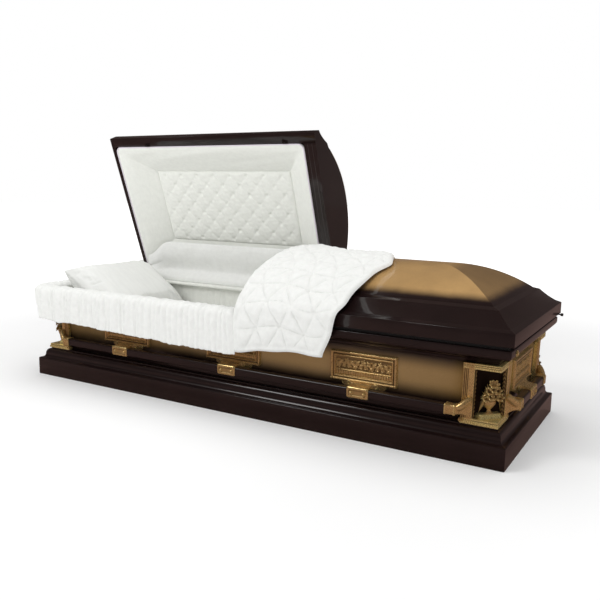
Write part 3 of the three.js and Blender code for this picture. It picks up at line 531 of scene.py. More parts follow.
def cloth_material(name, colour, crush_scale=46.0):
    """Soft crepe: a fine weave on the piece's own UV map in metres, crushed wrinkles and a little sheen."""
    made, tree, shader = start_material(
        name, Roughness=0.92, Specular_IOR_Level=0.25, Sheen_Weight=0.3, Sheen_Roughness=0.5)
    uv = node(tree, "TexCoord").outputs["UV"]
    threads = [node(tree, "TexWave", {"Vector": uv, "Scale": 180.0, "Distortion": 1.6, "Detail": 1.0,
                                      "Detail Scale": 2.0}, bands_direction=way).outputs["Fac"]
               for way in ("X", "Y")]
    crush = noise(tree, crush_scale, 5.0, 0.62, coordinates="UV")
    folds = noise(tree, 14.0, 3.0, 0.5, (1, 0.35, 1), "UV")
    tree.links.new(mixed(tree, span(tree, crush, 0.3, 0.7), times(colour, 0.95), tuple(colour)),
                   shader.inputs["Base Color"])
    bumped(tree, shader, (folds, 0.006, 0.22), (crush, 0.0018, 0.3),
           (sums(tree, "MULTIPLY", *threads), 0.0003, 0.35))
    return made


def worked_material(name, colour, roughness, metallic, scale):
    """Rubber, steel and the like: mottled colour, uneven roughness and fine bump."""
    made, tree, shader = start_material(name, Metallic=metallic)
    patch = noise(tree, scale, 4.0)
    fine = noise(tree, scale * 12, 2.0)
    tree.links.new(mixed(tree, patch, times(colour, 0.7), times(colour, 1.25)), shader.inputs["Base Color"])
    satin = span(tree, fine, 0.3, 0.7, roughness - 0.08, roughness + 0.08)
    tree.links.new(satin, shader.inputs["Roughness"])
    bumped(tree, shader, (fine, 0.0002, 0.25))
    return made


FINISHES = {
    "paint": paint_material,
    "brass": brass_material,
    "white": lambda sizes: cloth_material("white_crepe", sizes.white),
    "lining": lambda sizes: cloth_material("lining_crepe", sizes.lining),
    "piping": lambda sizes: cloth_material("lilac_piping", (0.74, 0.68, 0.74), 90.0),
    "rubber": lambda sizes: worked_material("black_seal", (0.012, 0.011, 0.011), 0.75, 0.0, 60.0),
    "steel": lambda sizes: worked_material("plain_steel", (0.34, 0.32, 0.3), 0.42, 1.0, 40.0),
    "dark_steel": lambda sizes: worked_material("dark_steel", (0.035, 0.026, 0.024), 0.4, 0.7, 60.0),
}
MADE = {}


def material(finish):
    """Each finish is made once, from the colours that the user sets."""
    if finish not in MADE:
        MADE[finish] = FINISHES[finish](bpy.context.scene.casket)
    return MADE[finish]


# Painted steel


def base_profile():
    """The base moulding's outer line: an upright face, a ledge, an ovolo and a fillet against the wall."""
    ledge = BASE_SET_BACK + 20.5
    top = BASE_FACE + 40
    face = rounded([(BASE_SET_BACK, 0), (BASE_SET_BACK, BASE_FACE), (ledge - 5, BASE_FACE + 3),
                    (ledge, BASE_FACE + 10)], 3)
    ovolo = bow((ledge + 1, BASE_FACE + 15), (ledge + 2, top), (ledge + 19.5, top), 12)
    fillet = rounded([ovolo[-1], (ledge + 19.5, MOULD_Z), (WALL_FOOT_INSET - FIT, MOULD_Z)], 1)
    return np.concatenate([face, ovolo[:-1], fillet])


def rim_profile():
    """The rim's outer line: a hollow cove out from the wall, an upright band, and the flange turned in on
    top."""
    inset = wall_inset(COVE_Z)
    cove = bow((inset - 3, COVE_Z + 6), (inset - 10, COVE_Z + 26.4), (RIM_INSET + 6, COVE_Z + 29.7), 10)
    band = rounded([cove[-1], (RIM_INSET, COVE_Z + 38), (RIM_INSET, BODY_Z),
                    (RIM_INSET + RIM_FLANGE, BODY_Z)], 5, 5)
    return np.concatenate([[(inset - FIT - SHEET, COVE_Z + FIT)], cove[:-1], band])


def lid_profile():
    """The lid's outer line from the rolled edge over two ledges and a cove to the crown, whose height is
    top - (top - start) (1 - share)^2.15 over the share of the way from the ledge to the ridge."""
    low = (LOW_LEDGE[0], LID_Z + LID_FLANGE + LOW_LEDGE[1])
    high = (low[0] + COVE[0], low[1] + COVE[1])
    crown = (high[0] + HIGH_LEDGE[0], high[1] + HIGH_LEDGE[1])
    start = (crown[0] + CROWN_STEP, crown[1] + CROWN_STEP)
    cove = bow(low, (low[0] + COVE[0] * 0.55, low[1] + COVE[1] * 0.42), high, 10)
    edge = rounded([(6, LID_Z), (0, LID_Z), (0, LID_Z + LID_FLANGE), cove[0], cove[1]], 1.8)
    ledge = rounded([cove[-2], cove[-1], crown, start], 1.6)
    share = np.linspace(0, 1, 42) ** 1.25
    dome = np.stack([start[0] + share * (HALF_Y - start[0]),
                     CROWN_Z - (CROWN_Z - start[1]) * (1 - share) ** CROWN_POWER], -1)
    return np.concatenate([edge[:-1], cove[1:-2], ledge[:-1], dome])


def build_body_shell():
    """Base moulding and rim are profiles carried round the casket. The walls are leaning panels that stop
    behind the corner castings."""
    for name, profile, radius in (("base_moulding", base_profile(), 2.5), ("body_rim", rim_profile(), 4)):
        points = carried(profile, radius)
        shape = Shape().grid(points, wrap_rows=True, rise=points[..., 2] * MM)
        piece(f"{name}.ring", shape, "casket", "paint", [f"{name}_{s}" for s in SIDES], wall=SHEET)
    for side in SIDES:
        z = np.linspace(SHEET + FIT, BODY_Z - SHEET - FIT, 24)
        s = np.linspace(-1, 1, 3)[:, None] * (HALF_SPAN[side] - wall_inset(z) - WALL_STOP)
        points = np.stack(np.broadcast_arrays(*SIDES[side](s, wall_inset(z), z)), -1)
        shape = Shape().grid(points, rise=points[..., 2] * MM)
        piece(f"body_wall_{side}.panel", shape, "casket", "paint", [f"body_wall_{side}"],
              wall=SHEET)


def build_lids():
    """Each lid is the pressed surface with the sheet's thickness inside. The head lid mirrors the foot lid
    and stands open."""
    profile = lid_profile()
    line = np.concatenate([[(FLANGE_SIDE, LID_Z)], profile])
    inset_x = np.concatenate([[FLANGE_END], profile[:, 0]])
    for end, start, way in (("foot", SPLIT_FOOT, 1), ("head", -SPLIT_HEAD, -1)):
        points = carried(line, 3.5, corners=("front_foot", "rear_foot"), start_x=start, inset_x=inset_x)
        points = points * (way, 1, 1)
        shape = Shape().grid(opened(points) if way < 0 else points, rise=points[..., 2] * MM)
        piece(f"{end}_lid.shell", shape, f"{end}_lid", "paint", [f"{end}_lid_shell"], wall=SHEET)
        build_header(end, way, profile)


def build_header(end, way, profile):
    """The plate across a split, a sheet inside the lid's surface, and the stepped strip along the lining."""
    half = np.stack([profile[:, 0] + SHEET + FIT - HALF_Y,
                     np.maximum(profile[:, 1] - SHEET - FIT, LID_Z + SHEET + FIT)], -1)[1:]
    half = half[half[:, 0] < 0]
    outline = np.concatenate([half, half[::-1] * (-1, 1)])
    face = SPLIT_FOOT if way > 0 else SPLIT_HEAD
    plate = [np.column_stack([np.full(len(outline), face + way * t), outline]) for t in (0, SHEET)]
    shape = Shape().grid(np.array(plate), wrap_cols=True, ends=True, rise=LID_Z * MM)
    steps = rounded([(0, 0), (18, 0), (21, 2.2), (40, 2.2), (43, 4.4), (SPLIT_FLANGE, 4.4)], 1.2, 2)
    x, level = face + way * steps[:, 0], LID_Z + FIT + steps[:, 1]
    section = np.concatenate([np.stack([x, level], -1), np.stack([x, level + SHEET], -1)[::-1]])
    half_y = HALF_Y - FLANGE_SIDE - FIT
    strip = [np.column_stack([section[:, 0], np.full(len(section), s * half_y), section[:, 1]])
             for s in (-1, 1)]
    shape.grid(np.array(strip), wrap_cols=True, ends=True, rise=LID_Z * MM)
    if way < 0:
        shape = Shape().add(shape, opened)
    piece(f"{end}_lid_header.plate", shape, f"{end}_lid", "paint", [f"{end}_lid_header"], crease=25)


def build_bars():
    """Four straight square bars with rounded edges, from socket to socket."""
    ring = square_ring(BAR_SIZE, BAR_SIZE, 6)
    for side in SIDES:
        low, high = box(f"bar_{side}")
        along = 0 if side in ("front", "rear") else 1
        rows = np.zeros((2, len(ring), 3))
        rows[..., along] = [[low[along]], [high[along]]]
        rows[..., 1 - along] = (low + high)[1 - along] / 2 + ring[:, 0]
        rows[..., 2] = BAR_Z + ring[:, 1]
        shape = Shape().grid(rows, wrap_cols=True, ends=True, rise=0.0)
        piece(f"bar_{side}.tube", shape, "casket", "paint", [f"bar_{side}"], crease=50)


# Cast brass


def lines_between(*stops):
    """Places along a line: each stop is (place, spacing up to it)."""
    out = [np.array([stops[0][0]], float)]
    for (start, _), (end, spacing) in zip(stops, stops[1:]):
        out.append(np.linspace(start, end, max(2, round((end - start) / spacing) + 1))[1:])
    return np.concatenate(out)


def leaf_height(x, y, length, width):
    """0 to 1 over a leaf from the origin along x: its half width is width/2 sin(pi (x/length)^0.8), its
    section is an ellipse, and a groove runs along its middle with side veins."""
    share = np.clip(x / length, 0, 1)
    half = width / 2 * np.sin(np.pi * share**0.8) + 1e-6
    inside = (x > 0) & (x < length) & (np.abs(y) < half)
    body = np.sqrt(np.clip(1 - (y / half) ** 2, 0, 1)) * np.clip(np.sin(np.pi * share**0.6), 0, 1) ** 0.5
    veins = 0.3 * np.exp(-((y / 0.9) ** 2)) + 0.1 * np.cos(2 * np.pi * (x - np.abs(y)) / 4.2)
    return np.where(inside, np.clip(body - veins, 0, 1), 0)


def bloom_height(x, y, radius):
    """0 to 1 over a round flower: five petals whose reach is radius (0.82 + 0.18 cos 5a), round a raised
    middle."""
    r, a = np.hypot(x, y), np.arctan2(y, x)
    reach = radius * (0.82 + 0.18 * np.cos(5 * a))
    petal = np.clip(1 - (r / reach) ** 3, 0, 1) ** 0.6
    petal = petal * (0.72 + 0.2 * np.cos(5 * a) * smooth(0.2, 0.8, r / radius))
    middle = np.sqrt(np.clip(1 - (r / (0.3 * radius)) ** 2, 0, 1))
    return np.maximum(petal - 0.25 * np.exp(-(((r / radius - 0.36) / 0.06) ** 2)), middle)


def curl_height(x, y, turn, hand, size):
    """0 to 1 along a ridge that leaves the origin at an angle and winds into a spiral, getting thinner."""
    t = np.linspace(0, 1, 60)
    heading = turn + hand * (0.4 + 7.2 * t**1.25)
    step = size * (1.15 - t) / 19
    px, py = np.cumsum(step * np.cos(heading)), np.cumsum(step * np.sin(heading))
    gap = np.hypot(x[..., None] - px, y[..., None] - py)
    near = gap.argmin(-1)
    ridge = np.sqrt(np.clip(1 - (gap.min(-1) / (2.1 - 1.1 * t[near])) ** 2, 0, 1))
    return ridge * (0.8 - 0.25 * t[near])


def scroll_relief(x, y, width):
    """A generic scroll for the plates: a wavy stem with blooms at its turns, a pair of leaves opposite each
    and curls between them. The stem's middle is swing cos(pi x / pitch), and its section is round. Below it
    run a round shelf and a row of tongues, |sin|^0.6 along the plate."""
    shelf_down, shelf_half, tongue = 14, 4.2, 9.5
    shelf = 0.95 * np.sqrt(np.clip(1 - ((y + shelf_down) / shelf_half) ** 2, 0, 1))
    tongues = 0.5 * np.abs(np.sin(np.pi * x / tongue)) ** 0.6 * smooth(-32, -28, y) * smooth(-17.5, -19, y)
    stem_up, swing, thick = 9.5, 6, 1.9
    y = y - stem_up
    count = 7
    pitch = (width - 60) / (count - 1)
    phase = np.pi * x / pitch
    slope = np.sqrt(1 + (swing * np.pi / pitch * np.sin(phase)) ** 2)
    height = 0.62 * np.sqrt(np.clip(1 - ((y - swing * np.cos(phase)) / slope / thick) ** 2, 0, 1))
    height = height * (np.abs(x) < width / 2 - 26)
    for i in range(count):
        cx = (i - (count - 1) / 2) * pitch
        wave = 1 if i % 2 else -1
        height = np.maximum(height, bloom_height(x - cx, y - wave * 9, 11.5))
        for turn in (0.8, 2.35):
            c, s = math.cos(-wave * turn), math.sin(-wave * turn)
            dx, dy = x - cx, y - wave * 5
            height = np.maximum(height, 0.85 * leaf_height(dx * c + dy * s, dy * c - dx * s, 29, 13))
        for hand in (-1, 1):
            curl = curl_height(x - cx - hand * 3, y + wave * 8, -wave * np.pi / 2, hand, 10)
            height = np.maximum(height, curl)
    height = height * smooth(-21, -19, y)
    return np.maximum.reduce([height, shelf * np.ones_like(x), tongues])


def plate_shape():
    """A bracket's plate as a height over its face: stepped frames by the distance from the edge, a field
    with the scroll, and two round studs. Its sides run back to the wall."""
    half_z, border, stud = 52.5, 19.5, 5.5
    edge = lines_between((0, 1), (2.5, 0.6), (7, 1.2), (10, 0.8), (13, 0.8), (14.5, 0.5), (17, 0.8),
                         (border, 0.6))

    def places(half):
        middle = lines_between((border - half, 1), (half - border, 1.35))[1:-1]
        return np.concatenate([edge - half, middle, half - edge[::-1]])
    x, y = np.meshgrid(places(PLATE_HALF), places(half_z), indexing="ij")
    d = np.minimum(PLATE_HALF - np.abs(x), half_z - np.abs(y))
    steps = rounded([(0, 8.5), (2.5, 12), (7, 12), (10, 8), (13, 8), (14.5, 11), (17, 11), (19, 5),
                     (60, 5)], 1)
    field = smooth(19, 21, d)
    relief = scroll_relief(x, y, 2 * PLATE_HALF) * field
    t = np.interp(d, steps[:, 0], steps[:, 1]) + 6 * relief + 0.35 * field * ripples(x, y, 3, 6, 3, 9)
    for cx in (-1, 1):
        r = np.hypot(x - cx * (PLATE_HALF - 5), y + half_z - 5)
        t = np.maximum(t, np.where(r < stud, 11 + 4.5 * np.sqrt(np.clip(1 - (r / stud) ** 2, 0, 1)), 0))
    # The ground between the scroll and the groove inside the frame are painted darker: patina and painted
    # shade in the hollows.
    recess = smooth(0.32, 0.02, relief) * field * 0.6 + 0.8 * smooth(9.4, 8.2, t) * (d > 8) * (d < 15)
    face = np.stack([x, t, y + PLATE_TOP - half_z], -1)
    return Shape().slab(face, face * (1, 0, 1) + (0, FIT, 0), recess=np.clip(recess, 0, 1))


def arm_shape():
    """A bracket's arm: round-cornered rings swept from under the plate out to a sleeve round the bar, each
    given as (out, half width, foot, top). The sleeve's face has a raised frame round a panel with two
    bosses. Two scrolls and two ribs join the arm to the plate."""
    low, high = BAR_Z - BAR_SIZE / 2, BAR_Z + BAR_SIZE / 2
    stations = [
        (FIT, 84, 178, 199), (4, 72, 173, 198.5), (9, 58, 165, 197.5), (14, 48, 157, 196),
        (18.7, 40.5, low - 3.3, 194), (21, 40.5, low - 3.3, 193), (22, 39, low - 2.3, 191.5),
        (49, 39, low - 2.3, high + 5), (50, 40.5, low - 3.3, high + 6), (53, 40, low - 3, high + 5),
        (55.3, 38, low, high + 1), (55.6, 34, low + 3.6, high - 3), (55.2, 32.5, low + 5, high - 4.6),
        (53.6, 31, low + 6.5, high - 6), (53, 26, low + 10, high - 9.5), (53, 8, low + 14, high - 14),
    ]
    rings = []
    for t, half, foot, top in stations:
        ring = square_ring(2 * half, top - foot, min(6, (top - foot) * 0.3), 5)
        rings.append(np.column_stack([ring[:, 0], np.full(len(ring), t), ring[:, 1] + (foot + top) / 2]))
    # The sunk panel on the sleeve's face is painted darker: patina and painted shade.
    recess = np.interp(np.arange(len(stations)), [6, 7, 11, 12, 13, 14], [0, 0, 0, 0.5, 0.5, 0.2])[:, None]
    shape = Shape().grid(np.array(rings), wrap_cols=True, ends=True, recess=recess)
    angle = np.linspace(0, 2.3 * np.pi, 40)
    r = 9.5 - 6.5 * angle / angle[-1]
    boss = turned([(7.5, 0), (7.2, 2), (5.6, 4.6), (3, 6), (0.01, 6.6)], 20)
    for way in (-1, 1):
        shape.add(boss, lambda m: np.stack([m[:, 0] + 24 * way, m[:, 2] + 52.5, m[:, 1] + BAR_Z - 2], -1))
        spiral = np.stack([way * (51 - r * np.cos(angle)), 11.5 + 0 * r, 186 + r * np.sin(angle)], -1)
        shape.add(tube(spiral, 3.4 - 1.2 * angle / angle[-1], sides=8))
        rib = spline([(way * 58, 7, 191), (way * 48, 10, 184), (way * 40, 17, 181), (way * 36, 27, 184)], 14)
        shape.add(tube(rib, 3.6, sides=10, squeeze=0.8))
    return shape


def build_brackets():
    """Eight brackets: three along the front and the rear, and one at each end."""
    shape = plate_shape().add(arm_shape())
    places = [(f"{side}_{i + 1}", side, (i - 1) * PLATE_X) for side in ("front", "rear") for i in range(3)]
    for name, side, middle in [*places, ("foot", "foot", 0), ("head", "head", 0)]:
        piece(f"bracket_{name}.cast", Shape().add(shape, on_side(side, middle)), "casket",
              "brass", [f"bracket_{name}"], crease=50)


POST_OUT, POST_IN = -105.0, -68.0
BACK_OUT, BACK_IN = -72.7, -68.5
NICHE_LOW, NICHE_HIGH = CASTING_LOW + 18, CASTING_HIGH - 18
FACE = 15.0
FLUTE_PITCH, FLUTE_DEPTH = 5.6, 2.2
SOCKET, SOCKET_MOUTH = 34, 30.8


def wing_shape():
    """One wing of a corner casting: its fluted post with a knob, carved cheek, socket, web, tube and scroll.
    The flutes are as deep as 1 - |sin|^1.5 of the place across the post."""
    shape = Shape()
    p = lines_between((POST_OUT + 1.5, 1), (-87, 0.45), (POST_IN - 2, 2))
    z = lines_between((CASTING_LOW + 6.5, 1), (CASTING_LOW + 15, 1.5), (CASTING_HIGH - 18, 12),
                      (CASTING_HIGH, 2))
    run = (smooth(127, 134, z) * smooth(308, 303, z))[:, None]
    flute = np.abs(np.sin(np.pi * (p - POST_OUT) / FLUTE_PITCH)) ** 1.5
    groove = FLUTE_DEPTH * (1 - flute) * smooth(-86.5, -88, p) * run
    face = np.stack(np.broadcast_arrays(p, FACE - groove, z[:, None]), -1)

    def edge(x, y):
        return np.stack([np.full_like(z, x), np.full_like(z, y), z], -1)[:, None]
    rings = np.concatenate([edge(POST_OUT, FIT), edge(POST_OUT, FACE - 2), face, edge(POST_IN, FACE - 1),
                            edge(POST_IN, FIT)], 1)
    # The flutes are painted darker by their depth: patina and painted shade.
    deep = np.pad(groove / FLUTE_DEPTH, ((0, 0), (2, 2)))
    shape.grid(rings, wrap_cols=True, ends=True, recess=deep * 0.8)

    knob = turned([(5, 0), (5, 1.5), (3.8, 2.6), (3.4, 2.6), (2.4, 4.2), (0.01, 4.8)], 20)
    shape.add(knob, lambda m: np.stack([m[:, 0] - 93, m[:, 2] + FACE, m[:, 1] + CASTING_HIGH - 8], -1))

    q, up = np.meshgrid(np.linspace(-2, FACE - 2, 12), np.linspace(NICHE_LOW + 2, NICHE_HIGH - 2, 110),
                        indexing="ij")
    off = np.abs(q - FACE / 2 + 2)
    carve = np.abs(np.sin(np.pi * (up + 1.4 * off) / 13)) ** 0.7 * np.exp(-((off / 5.5) ** 4))
    cheek = np.stack([POST_IN + 0.5 + 4.5 * carve, q, up], -1)
    # The cheek faces into the niche and is painted dark brown, less on the carving's ridges: painted shade
    # in the niche, with patina in the carving's hollows.
    shape.slab(cheek, cheek * (0, 1, 1) + (POST_IN - 2, 0, 0), recess=0.95 - 0.55 * carve)

    start, end = -147.2, -113.2
    outer, inner = square_ring(SOCKET, SOCKET, 5), square_ring(SOCKET_MOUTH, SOCKET_MOUTH, 4.6)
    line = [(start + 19, inner, 0), (start + 0.4, inner, 0), (start, outer, 0), (start + 1, outer, 0.6),
            (start + 5, outer, 0.6), (start + 6.5, outer, -0.5), (end - 6, outer, -0.5),
            (end - 4.5, outer, 0.8), (end, outer, 0.8), (end + 2, outer, -1.5)]
    rings = [np.column_stack([np.full(len(r), x), r * (1 + grow / (SOCKET / 2)) + (BAR_REACH, BAR_Z)])
             for x, r, grow in line]
    shape.grid(np.array(rings), wrap_cols=True, ends=True)

    stations = spline([
        (end - 2, 21, 53, 151.5, 183), (end + 4, 20, 50, 153, 180), (end + 10, 17, 45, 153, 181),
        (end + 20, 11, 34, 151, 186), (end + 30, 6, 25, 146, 192), (end + 38, 3, 18, 138, 196),
        (-71, 2, 14.6, 128, 202),
    ], 26)
    rings = []
    for x, q0, q1, z0, z1 in stations:
        ring = square_ring(q1 - q0, z1 - z0, min(4, (q1 - q0) * 0.3))
        rings.append(np.column_stack([np.full(len(ring), x), ring + ((q0 + q1) / 2, (z0 + z1) / 2)]))
    shape.grid(np.array(rings), wrap_cols=True, ends=True)
    path = spline([(end - 4, 38, 171), (end + 8, 38, 175), (end + 20, 33, 184), (end + 32, 23, 196),
                   (-75, 12, 205)], 22)
    ends = np.sqrt(np.clip(1 - np.linspace(-1, 1, len(path)) ** 8, 0.02, 1))
    shape.add(tube(path, 12.5 * ends, sides=20))

    scroll = turned([(8.5, 0), (8.5, 14), (7.8, 15.5), (6.5, 15.2), (5.6, 14), (5, 14), (4.4, 15.6),
                     (2.5, 17), (0.01, 17.4)], 24)
    shape.add(scroll, lambda m: np.stack([m[:, 0] - 102, m[:, 2] + 2, m[:, 1] + CASTING_LOW + 9], -1))
    return shape


def casting_shape():
    """A corner casting: grooved blocks above and below the niche, its back wall, and a wing along each wall.
    A block's line is (up, out from the walls)."""
    low, high = CASTING_LOW, CASTING_HIGH
    foot = [(0, 17.6), (0.5, 18), (4.4, 18), (5, 17.4), (6.2, 17.4), (6.8, 16.4), (11, 15.6), (11.6, 13.6),
            (12.6, 13.6), (13.2, 15.2), (17.5, 14.8), (18, 14.2)]
    head = [(-18, 13.8), (-17.5, 14.6), (-12, 14.6), (-11.4, 13.4), (-10.4, 13.4), (-9.8, 15), (-6, 15),
            (-5.4, 13.6), (-4.4, 13.6), (-3.8, 14.6), (-0.5, 14.6), (0, 14)]
    shape = Shape()
    for level, line in ((low, foot), (high, head)):
        rings = []
        for up, t in line:
            outline = [(POST_OUT, FIT), (POST_OUT, t), (t, t), (t, POST_OUT), (FIT, POST_OUT),
                       (FIT, BACK_OUT), (BACK_OUT, FIT)]
            rings.append([(p, q, level + up) for p, q in outline])
        # The blocks' grooves are painted darker: patina and painted shade.
        dark = np.array([0.75 * (t < 13.7) for _, t in line])[:, None]
        shape.grid(np.array(rings), wrap_cols=True, ends=True, recess=dark)
    # The niche's back wall is painted dark brown all over: painted shade at the back of the niche.
    outline = [(BACK_OUT, FIT), (BACK_IN, FIT - 2), (FIT - 2, BACK_IN), (FIT, BACK_OUT), (-1, BACK_OUT),
               (BACK_OUT, -1)]
    back = [[(p, q, z) for p, q in outline] for z in (NICHE_LOW - 1, NICHE_HIGH + 1)]
    shape.grid(np.array(back), wrap_cols=True, ends=True, recess=1.0)
    wing = wing_shape()
    return shape.add(wing).add(wing, lambda m: m[:, [1, 0, 2]])


def leaf_shape(path, width):
    """A flat leaf along a path. Its half width is width sin(pi t^0.75) + 0.4, with t from 0.06 to 0.98."""
    half = width * np.sin(np.pi * np.linspace(0.06, 0.98, len(path)) ** 0.75) + 0.4
    return tube(path, half, sides=8, squeeze=0.3)


def ornament_shape():
    """An urn of lilies on a wedge plinth, with a fan of leaves behind them and drooping leaves at its sides,
    in (along the niche, out of it, up)."""
    foot = NICHE_LOW + FIT
    shape = Shape()
    outline = [(-42, -15.5), (42, -15.5), (37, 15.5), (-37, 15.5)]
    rings = []
    for z, shrink, lean in ((0, 0, 0), (1, -0.6, 0), (9, -0.6, 1), (14, 1.5, 4), (15, 3, 5)):
        rings.append([(x - math.copysign(shrink, x), y - math.copysign(shrink, y) - lean * (y > 0), foot + z)
                      for x, y in outline])
    shape.grid(np.array(rings), wrap_cols=True, ends=True)
    base = foot + 14
    urn = spline([(17, 0), (16.5, 2.5), (9, 6), (6.5, 11), (8, 16), (15, 23), (21.5, 33), (21.5, 42),
                  (16, 49), (15.5, 51), (19, 55), (19.5, 57), (16, 57.5)], 46)
    urn = turned(urn, sides=60, flutes=14, depth=0.07)
    shape.add(urn, lambda m: m * (1, 0.6, 1) + (0, 0, base))
    rng = np.random.default_rng(11)
    # The leaves are painted a little darker, the fan behind the lilies most: patina and painted shade.
    fan, drooping = 44, 14
    for i in range(fan):
        tilt = (i / (fan - 1) - 0.5) * 3.3
        depth, level = rng.uniform(0.1, 0.9), rng.uniform(0.35, 1.0)
        tip = np.array([math.sin(tilt) * 34, depth * 15, 54 + math.cos(tilt) * 54 * level])
        root = np.array([math.sin(tilt) * 9, depth * 3, 52])
        path = bow(root, (root + tip) / 2 + (math.sin(tilt) * 6, 5, 7), tip, 9)
        shape.add(leaf_shape(path + (0, 0, base), 6.2), recess=0.25)
    for i in range(drooping):
        side, share = (-1, 1)[i % 2], (i // 2) / (drooping / 2 - 1)
        root = (side * 10, 3 + 9 * share, 54)
        bend = (side * (26 + 10 * share), 6 + 9 * share, 74)
        tip = (side * (27 + 11 * (1 - share)), 4 + 11 * share, 8 + 26 * share)
        shape.add(leaf_shape(bow(root, bend, tip, 9) + (0, 0, base), 6.5), recess=0.15)
    for count, out, up in ((4, 31, 60), (3, 22, 82), (2, 11, 102)):
        for i in range(count):
            side = ((i + 0.5) / count - 0.5) * 2
            place = np.array([out * side * 1.2, 10 + 3 * (1 - abs(side)), base + up - abs(side) * 10])
            shape.add(lily_shape(), lily_place(place, side))
    return shape


def lily_shape(petals=6):
    """A lily: rings from its throat out to six curled petals and back inside. At a share u of the way out
    its reach is 2.2 + 12.6 (0.55 + 0.45 |cos 3a|^0.7) u^1.5 and its height 15 u^0.8 - 4.5 u^5, less between
    the petals."""
    sides, wall = 48, 0.9
    angle = np.linspace(0, 2 * np.pi, sides, endpoint=False)
    u = np.array([0, 0.15, 0.3, 0.45, 0.6, 0.75, 0.88, 1.0])
    wave = np.abs(np.cos(petals * angle / 2))
    reach = 2.2 + (12.6 * (0.55 + 0.45 * wave**0.7))[None] * (u**1.5)[:, None]
    rise = (15 * u**0.8 - 4.5 * u**5)[:, None] - 2.6 * (1 - wave)[None] * u[:, None]
    outer, inner = (np.stack([(reach - inset) * np.cos(angle), (reach - inset) * np.sin(angle),
                              rise + inset * 1.2], -1) for inset in (0, wall))
    # The inside of each lily is painted darker towards its throat: patina and painted shade.
    deep = np.concatenate([np.zeros(len(u)), np.linspace(0, 0.8, len(u))])[:, None]
    return Shape().grid(np.concatenate([outer, inner[::-1]]), wrap_cols=True, ends=True, recess=deep)


def lily_place(place, side):
    """Turns a lily to face outwards and a little up and to its side, at its place."""
    turn = np.array(Matrix.Rotation(side * 0.5, 3, "Z") @ Matrix.Rotation(-math.pi / 2 + 0.5, 3, "X"))
    return lambda m: m @ turn.T + place


def build_corners():
    """A casting and its niche ornament at each corner. The ornament stands on the diagonal of the corner."""
    def in_niche(m):
        along, out, z = m.T
        return np.stack([-26 + (along + out) / math.sqrt(2), -26 + (out - along) / math.sqrt(2), z], -1)
    casting, ornament = casting_shape(), Shape().add(ornament_shape(), in_niche)
    for name in CORNERS:
        for kind, shape, crease in (("casting", casting, 45), ("ornament", ornament, 60)):
            piece(f"corner_{kind}_{name}.cast", Shape().add(shape, at_corner(name)), "casket",
                  "brass", [f"corner_{kind}_{name}"], crease=crease)


# Linings and bedding


def around(edges, radius, count):
    """Evenly spaced points round a rectangle (x0, x1, y0, y1) with corner arcs."""
    x0, x1, y0, y1 = edges
    ring = square_ring(x1 - x0, y1 - y0, radius, 10) + ((x0 + x1) / 2, (y0 + y1) / 2)
    return even(np.concatenate([ring, ring[:1]]), count + 1)[:-1]


def tufts(x, y, pitch_x, pitch_y):
    """Height of a buttoned pad in shares of its depth: between staggered pits, hills of
    (|sin pi(a + b/2)| |sin pi(a - b/2)|)^0.6, where a and b are x and y in pitches."""
    a, b = x / pitch_x, y / pitch_y
    hills = np.abs(np.sin(np.pi * (a + b / 2)) * np.sin(np.pi * (a - b / 2))) ** 0.6
    row = np.round(b)
    shift = np.where(row % 2 == 0, 0.0, 0.5)
    gap = np.hypot((a - shift - np.round(a - shift)) * pitch_x, (b - row) * pitch_y)
    return 0.5 * hills - 0.9 * np.exp(-((gap / 8.0) ** 2))


def pad_over(edges, low, depth, pitch, count, roll):
    """A tufted pad over a rectangle: its face hangs below a flat back and rolls up at its edges."""
    x0, x1, y0, y1 = edges
    x, y = np.meshgrid(np.linspace(x0, x1, count[0]), np.linspace(y0, y1, count[1]), indexing="ij")
    edge = np.minimum(np.minimum(x - x0, x1 - x), np.minimum(y - y0, y1 - y))
    round_edge = np.sqrt(np.clip(1 - (1 - np.clip(edge / roll, 0, 1)) ** 2, 0, 1))
    hills = tufts(x - x0 - pitch[0] / 2, y - y0 - pitch[1] / 2, *pitch)
    rise = depth * hills * smooth(0, 22, edge)
    z = low + 7 * (1 - round_edge) - rise + 0.5 * ripples(x, y, 8, 8, 12, 50)
    face = np.stack([x, y, z], -1)
    back = np.stack([x, y, np.full_like(x, low + 15)], -1)
    return Shape().slab(face, back, u=x, v=y)


PANEL_INSET, PANEL_HEAD_INSET, CORD_RADIUS = 186, 201, 3.1


